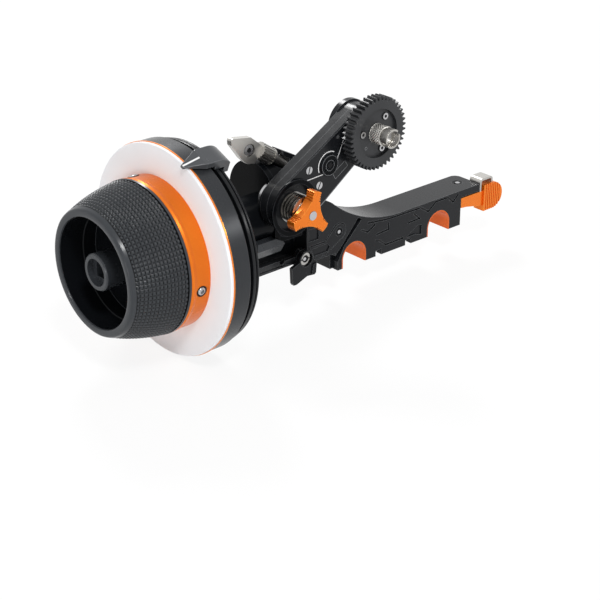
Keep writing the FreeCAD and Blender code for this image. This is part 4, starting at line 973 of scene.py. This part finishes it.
@dataclass
class SwingArm(SubAssembly):
    """The arm's engraved lines, bare label, turning dial, screw slots and spring stack."""

    face: float = 19.0
    hub_r: float = 13.5
    end_r: float = 11.1
    line_wide: float = 0.4
    line_low: tuple[Point2, Point2] = ((-70.8, 54.4), (-55.3, 55.1))
    line_high: tuple[Point2, Point2] = ((-51.8, 59.5), (-46.6, 71.3))
    label_corners: tuple[Point2, ...] = ((-54.2, 53.6), (-46.4, 58.4), (-44.6, 55.4), (-52.4, 50.6))
    dial_at: Point3 = (27.0, 0.0, 1.1)
    dial_front: float = 19.8
    dial_rings: tuple[float, float] = (4.9, 2.6)
    screws: tuple[Point3, Point3] = ((16.8, 8.1, 75.0), (17.2, -3.1, 62.0))
    set_screw_at: Point3 = (38.5, 0.0, 8.8)
    spring_back: float = 17.4
    spring_front: float = 27.4
    springs_in_stack: int = 5
    highlight_ends: Point2 = (9.0, 50.0)

    def mark(
        self, name: str, outline: Sequence[Point2], finish: Finish, slot: Slot, place: Place = ROW
    ) -> None:
        """A thin mark let into the arm's front face."""
        new_piece(name, slab(outline, self.face - 0.05, self.face + 0.03, place), "arm", finish)

    def lines(self) -> None:
        """White-filled engraved lines and the arc by the turning dial."""
        self.mark("arm_line_low", ribbon(self.line_low, self.line_wide), INK, Slot.WHITE)
        self.mark("arm_line_high", ribbon(self.line_high, self.line_wide), INK, Slot.WHITE)
        x, _, z = self.dial_place().origin
        self.mark("arm_dial_arc", ribbon(arc_points(x, z, 6.7, 62.0, 200.0), 0.45), INK, Slot.WHITE)

    def dial_place(self) -> Place:
        """The turning dial's own axes."""
        return ARM.at(*self.dial_at)

    def label(self) -> None:
        """The bare sunk label plate and its frame."""
        corners = self.label_corners
        self.mark("arm_label_plate", corners, BLACK_TURNED, Slot.BLACK)
        for number, ends in enumerate(zip(corners, corners[1:] + corners[:1]), start=1):
            mesh = slab(ribbon(ends, 0.22), self.face, self.face + 0.06)
            new_piece(f"arm_label_edge_{number}", mesh, "arm", LINE)

    def dial(self) -> None:
        """Fine turned rings and a painted-shadow driver recess on the dial."""
        place = self.dial_place()
        back, front = self.dial_front - 0.05, self.dial_front + 0.05
        for number, radius in enumerate(self.dial_rings, start=1):
            inner, outer = radius - 0.13, radius + 0.13
            profile = [(back, inner), (front, inner), (front, outer), (back, outer)]
            mesh = lathe(profile, place, Axis.FORWARD, steps=64)
            new_piece(f"dial_ring_{number}", mesh, "dial", GREY)
        outline = lobed_outline(0.0, 0.0, 1.3)
        mesh = slab(outline, self.dial_front - 0.3, self.dial_front + 0.04, place)
        new_piece("dial_recess", mesh, "dial", SHADOW)

    def screw_slots(self) -> None:
        """Painted-shadow slots in the two arm screws, a ring of painted shadow round each, and the small set
        screw.
        """
        front, inner, outer = self.face + 0.03, 1.95, 2.3
        rim = [(self.face - 0.3, inner), (front, inner), (front, outer), (self.face - 0.3, outer)]
        for number, (along, up, turn) in enumerate(self.screws, start=1):
            place = Place(ARM.at(along, 0.0, up).origin, tilt(turn))
            mesh = slab(slot_outline(inner), self.face - 0.4, front, place)
            new_piece(f"arm_screw_slot_{number}", mesh, "arm", SHADOW)
            mesh = lathe(rim, place, Axis.FORWARD, steps=48)
            new_piece(f"arm_screw_rim_{number}", mesh, "arm", SHADOW)
        x, _, z = ARM.at(*self.set_screw_at).origin
        outline = lobed_outline(x, z, 0.85)
        new_piece("arm_set_screw", slab(outline, self.face - 0.4, self.face + 0.02), "arm", LINE)

    def springs(self) -> None:
        """The stack of disc springs between the arm and its knob."""
        bore, groove, rim = 5.0, 5.5, 7.5
        step = (self.spring_front - self.spring_back) / self.springs_in_stack
        profile = [(self.spring_back, bore)]
        for index in range(self.springs_in_stack):
            near = self.spring_back + index * step
            profile += [(near, groove), (near + 0.25 * step, rim)]
            profile += [(near + 0.55 * step, rim), (near + 0.75 * step, groove)]
        profile += [(self.spring_front, groove), (self.spring_front, bore)]
        mesh = lathe(profile, Place(PIVOT, LEVEL), Axis.FORWARD, steps=72)
        piece = new_piece("spring_stack", mesh, "arm", SPRING)
        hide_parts("disc_springs")

    def edge_highlight(self) -> None:
        """A painted highlight along the arm's lower bevel."""
        rows = []
        for inset in (0.35, 0.85):
            reaches = [self.hub_r + (self.end_r - self.hub_r) * along / ARM_REACH for along in self.highlight_ends]
            rows.append([(along, inset - reach) for along, reach in zip(self.highlight_ends, reaches)])
        self.mark("arm_edge_line", rows[0] + rows[1][::-1], LINE, Slot.WHITE, ARM)

    def build(self) -> None:
        """Make the marks and dress the nodes."""
        self.lines()
        self.label()
        self.dial()
        self.springs()
        self.screw_slots()
        self.edge_highlight()
        self.dress(BLACK, "arm_front_cover", "arm_rear_cover", "rear_cap")
        self.dress(BLACK_GLOSS, "hub_ring", "turn_dial")
        self.dress(STEEL, "arm_screws", "knob_insert", "pivot_gear", "idler_gear_1", "idler_gear_2",
                   "idler_pin_1", "idler_pin_2", "output_gear")
        self.dress(ORANGE, "tri_lobe_knob")
        self.soften(0.35, "rear_cap", "hub_ring")
        self.soften(0.2, "turn_dial", "tri_lobe_knob")


@dataclass
class LensGear(SubAssembly):
    """The lens gear, its hub with three screws and the knurled release nut."""

    nut_r: float = 4.9
    bore_r: float = 2.6
    diamonds: int = 22
    diamond_long: float = 1.4
    knurl_deep: float = 0.3
    knurl_steep: float = 1.5
    knurl_ends: Point2 = (27.8, 33.9)
    sleeve_ends: Point2 = (27.5, 35.0)
    knurl_rows: int = 36
    row_long: float = 0.18
    end_starts: Point2 = (12.0, 192.0)
    end_sweep: float = 156.0
    end_places: Point2 = (34.95, 38.95)
    screw_turns: Point3 = (53.0, 173.0, 293.0)
    screw_reach: float = 9.0
    pin_turn: float = 224.0
    pin_reach: float = 9.1

    def knurl(self, along: float, radius: float, angle: float) -> float:
        """Radius with the crossed diamond knurl of the sleeve.

        Args:
            along: The place along the axis in millimetres.
            radius: The plain radius there.
            angle: The angle round the axis in radians.

        Returns:
            The radius with the knurl's depth taken off.
        """
        if radius < self.nut_r - 0.05 or not self.knurl_ends[0] < along < self.knurl_ends[1]:
            return radius
        around = angle / (2 * math.pi) * self.diamonds
        ridges = [abs(2 * ((around + hand * along / self.diamond_long) % 1.0) - 1) for hand in (1, -1)]
        return radius - self.knurl_deep * (1 - min(1.0, self.knurl_steep * (1 - max(ridges))))

    def nut(self) -> None:
        """The knurled sleeve with its slotted end ring, in place of the plain CAD nut."""
        back, front = self.sleeve_ends
        profile = [(back, self.bore_r), (back, self.nut_r - 0.3)]
        profile += [(back + 0.2 + self.row_long * k, self.nut_r) for k in range(self.knurl_rows)]
        profile += [(front - 0.7, self.nut_r - 0.35), (front - 0.6, self.nut_r - 0.9)]
        profile += [(front, self.nut_r - 0.9), (front, self.bore_r)]
        steps = self.diamonds * 8
        meshes = [lathe(profile, LENS, Axis.FORWARD, steps=steps, shape=self.knurl)]
        for start in self.end_starts:
            outer = arc_points(0.0, 0.0, self.nut_r - 0.2, start, start + self.end_sweep)
            inner = arc_points(0.0, 0.0, self.nut_r - 1.15, start + self.end_sweep, start)
            meshes.append(slab(outer + inner, *self.end_places, LENS, soft=0.15))
        piece = new_piece("nut_knurled", merge(meshes), "nut", STAINLESS)
        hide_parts("release_nut")

    def around(self, turn: float, reach: float) -> Point2:
        """A place on the hub's face from an upright angle in degrees and a radius."""
        angle = math.radians(turn - ARM_TILT)
        return reach * math.cos(angle), reach * math.sin(angle)

    def screws(self) -> None:
        """Painted-shadow driver recesses in the hub's screws, a ring of painted shadow round each, and the
        pin hole beside them.
        """
        rim = [(27.4, 1.6), (27.6, 1.6), (27.6, 1.95), (27.4, 1.95)]
        for number, turn in enumerate(self.screw_turns, start=1):
            x, z = self.around(turn, self.screw_reach)
            mesh = slab(lobed_outline(x, z, 0.85), 27.8, 28.13, LENS)
            new_piece(f"hub_recess_{number}", mesh, "output", SHADOW)
            mesh = lathe(rim, LENS.at(x, 0.0, z), Axis.FORWARD, steps=48)
            new_piece(f"hub_rim_{number}", mesh, "output", SHADOW)
        x, z = self.around(self.pin_turn, self.pin_reach)
        ring = [(27.35, 0.55), (27.5, 0.55), (27.5, 0.8), (27.35, 0.8)]
        mesh = lathe(ring, LENS.at(x, 0.0, z), Axis.FORWARD, steps=36)
        new_piece("pin_hole_ring", mesh, "output", LINE)

    def build(self) -> None:
        """Make the nut and recesses and dress the nodes."""
        self.nut()
        self.screws()
        self.dress(GEAR_BLACK, "drive_gear", "gear_hub")
        self.dress(STEEL, "hub_screws")


@dataclass
class Gearbox(SubAssembly):
    """Housing, neck, rail, thumb tab and clamp lever."""

    handle_recess_r: float = 1.25

    def build(self) -> None:
        """Make the handle screw's painted-shadow recess and dress the nodes."""
        self.dress(BLACK_GLOSS, "gearbox_body", "gearbox_flange", "gear_case")
        self.dress(BLACK, "dovetail_rail", "clamp_block")
        self.dress(BLACK_TURNED, "dial_cover")
        # The neck's black is darkened by painted shade.
        self.dress(SHADED_BLACK, "neck_tube")
        self.dress(DARK_RIM, "thumb_tab")
        self.dress(STAINLESS, "clamp_handle", "clamp_screw")
        self.dress(STEEL, "handle_screw", "pivot_stud", "bearing_front", "bearing_rear", "cross_shaft",
                   "cross_gear", "bevel_gear_cross")
        recess("handle_recess", "handle_screw", "clamp", lobed_outline, self.handle_recess_r)
        self.soften(0.2, "gearbox_body", "gearbox_flange", "gear_case", "clamp_block", "dovetail_rail",
                    "clamp_handle")


@dataclass
class Bridge(SubAssembly):
    """The bar, its liners, lock and eject lever."""

    plate_tip_r: float = 0.95
    lock_recess_r: float = 1.9
    # The radius of the painted highlight in the lock screw's recess.
    lock_socket_r: float = 1.0

    def small_tips(self) -> None:
        """The bright ends of the plate screw and eject pin, whose heads are darkened by painted shade."""
        x, z, front = front_of("plate_screw")
        mesh = slab(disc_outline(x, z, self.plate_tip_r), front - 0.2, front + 0.05)
        new_piece("plate_screw_tip", mesh, "bridge", STEEL)
        low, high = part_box("eject_pin")
        origin = ((low.x + high.x) / 2 / MM + 0.4, (low.y + high.y) / 2 / MM, high.z / MM)
        upright = Place(origin, Matrix.Rotation(math.radians(-90.0), 3, "Y"))
        tip = [(-0.2, 0.0), (-0.2, 1.2), (0.03, 1.2), (0.05, 1.1), (0.05, 0.0)]
        new_piece("eject_pin_tip", lathe(tip, upright, steps=40), "bridge", STEEL)

    def lock_face(self) -> None:
        """A disc of painted shadow over the lock screw's face, and a painted highlight in it, off the middle.
        """
        recess("lock_recess", "lock_screw", "bridge", disc_outline, self.lock_recess_r)
        x, z, front = front_of("lock_screw")
        outline = lobed_outline(x - 0.5, z + 0.1, self.lock_socket_r)
        new_piece("lock_socket", slab(outline, front - 0.1, front + 0.05), "bridge", STEEL)

    def build(self) -> None:
        """Make the small bright pieces and dress the nodes."""
        self.small_tips()
        self.lock_face()
        self.dress(BLACK, "bridge_bar", "lock_plate", "lock_lever")
        # Painted shade darkens the plate screw and eject pin heads round their bright tips.
        self.dress(SHADED_BLACK, "plate_screw", "eject_pin")
        # The liners wear the orange darkened by painted shade.
        self.dress(ORANGE_SHADED, "rod_liner_left", "rod_liner_right")
        self.dress(ORANGE, "eject_lever")
        self.dress(STAINLESS, "latch_strap")
        self.dress(STEEL, "bar_pin_left", "bar_pin_right")
        self.dress(SPRING, "lock_screw")


# ---------------------------------------------------------------- studio


@dataclass(frozen=True)
class Lamp:
    """A square area lamp: where it stands in metres, its power in watts and its side in metres."""

    name: str
    place: Point3
    power: float
    size: float

    def build(self, aim: Point3) -> None:
        """Hang the lamp and turn it.

        Args:
            aim: The point that it shines at, in metres.
        """
        data = bpy.data.lights.new(self.name, "AREA")
        data.energy = self.power
        data.size = self.size
        lamp = bpy.data.objects.new(self.name, data)
        lamp.location = self.place
        lamp.rotation_euler = (Vector(aim) - Vector(self.place)).to_track_quat("-Z", "Y").to_euler()
        bpy.context.scene.collection.objects.link(lamp)


LAMPS = (
    Lamp("key", (-0.60, -0.95, 1.35), 15.0, 0.30),
    Lamp("fill", (0.9, -1.3, 0.75), 3.6, 0.35),
    Lamp("rim", (0.35, 0.95, 0.95), 12.0, 0.35),
    Lamp("side", (-1.25, -0.35, 0.05), 3.0, 0.25),
)


@dataclass
class Studio:
    """Pale floor, soft lights and the camera."""

    azimuth: float = -41.32
    elevation: float = 25.876
    eye: Point3 = (-549.8, -559.3, 342.8)
    sensor: float = 36.0
    focal_px: float = 1659.48
    frame_px: float = 600.0
    aim: Point3 = (-0.05, 0.0, 0.03)
    floor_z: float = -0.0200
    floor_reach: float = 6.0
    floor_glow: float = 0.88
    room_light: float = 0.44

    def camera(self) -> None:
        """A pinhole camera on the object's left front, looking slightly down."""
        data = bpy.data.cameras.new("camera")
        data.sensor_fit = "HORIZONTAL"
        data.sensor_width = self.sensor
        data.lens = self.sensor * self.focal_px / self.frame_px
        data.clip_end = 20.0
        camera = bpy.data.objects.new("camera", data)
        turn, lift = math.radians(self.azimuth), math.radians(self.elevation)
        right = Vector((math.cos(turn), math.sin(turn), 0.0))
        up = Vector((-math.sin(turn) * math.sin(lift), math.cos(turn) * math.sin(lift), math.cos(lift)))
        matrix = Matrix((right, up, right.cross(up))).transposed().to_4x4()
        matrix.translation = Vector(self.eye) * MM
        camera.matrix_world = matrix
        bpy.context.scene.collection.objects.link(camera)
        bpy.context.scene.camera = camera

    def backdrop(self) -> None:
        """A large floor that shows white behind and below the object but keeps its shadow."""
        mesh = bpy.data.meshes.new("floor")
        far, z = self.floor_reach, self.floor_z
        corners = [(-far, -far, z), (far, -far, z), (far, far, z), (-far, far, z)]
        mesh.from_pydata(corners, [], [(0, 1, 2, 3)])
        floor = bpy.data.objects.new("floor", mesh)
        bpy.context.scene.collection.objects.link(floor)
        material = bpy.data.materials.new("floor_white")
        tree = NodeTree(material)
        shader = tree.add("ShaderNodeBsdfPrincipled")
        shader.inputs["Base Color"].default_value = (0.92, 0.92, 0.92, 1.0)
        shader.inputs["Roughness"].default_value = 0.9
        glow = tree.add("ShaderNodeEmission")
        glow.inputs["Color"].default_value = (1.0, 1.0, 1.0, 1.0)
        mix = tree.add("ShaderNodeMixShader")
        tree.link(tree.math("MULTIPLY", tree.seen(), self.floor_glow), mix.inputs["Fac"])
        tree.link(shader.outputs["BSDF"], mix.inputs[1])
        tree.link(glow.outputs["Emission"], mix.inputs[2])
        tree.link(mix.outputs["Shader"], tree.output.inputs["Surface"])
        mesh.materials.append(material)

    def world(self) -> None:
        """White where the camera or a reflection sees it, soft grey light elsewhere."""
        world = bpy.data.worlds.new("studio")
        tree = NodeTree(world, "ShaderNodeOutputWorld")
        mix = tree.add("ShaderNodeMixShader")
        tree.link(tree.seen(), mix.inputs["Fac"])
        for place, strength in ((1, self.room_light), (2, 1.0)):
            light = tree.add("ShaderNodeBackground")
            light.inputs["Color"].default_value = (1.0, 1.0, 1.0, 1.0)
            light.inputs["Strength"].default_value = strength
            tree.link(light.outputs["Background"], mix.inputs[place])
        tree.link(mix.outputs["Shader"], tree.output.inputs["Surface"])
        bpy.context.scene.world = world

    def build(self) -> None:
        """Set up light, floor and camera."""
        self.world()
        self.backdrop()
        self.camera()
        for lamp in LAMPS:
            lamp.build(self.aim)
        bpy.context.scene.view_settings.view_transform = "Standard"


def main() -> None:
    """Build the object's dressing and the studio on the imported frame."""
    logging.basicConfig(level=logging.INFO, format="%(message)s")
    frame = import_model()
    nodes = frame["nodes"]
    kinds = (HandWheel, IndexRing, SwingArm, LensGear, Gearbox, Bridge)
    for part in (*(kind(nodes) for kind in kinds), Studio()):
        before = set(bpy.data.objects.keys())
        part.build()
        for name in sorted(set(bpy.data.objects.keys()) - before):
            LOG.info("%s: built %s", type(part).__name__, name)


if __name__ == "__main__":
    main()
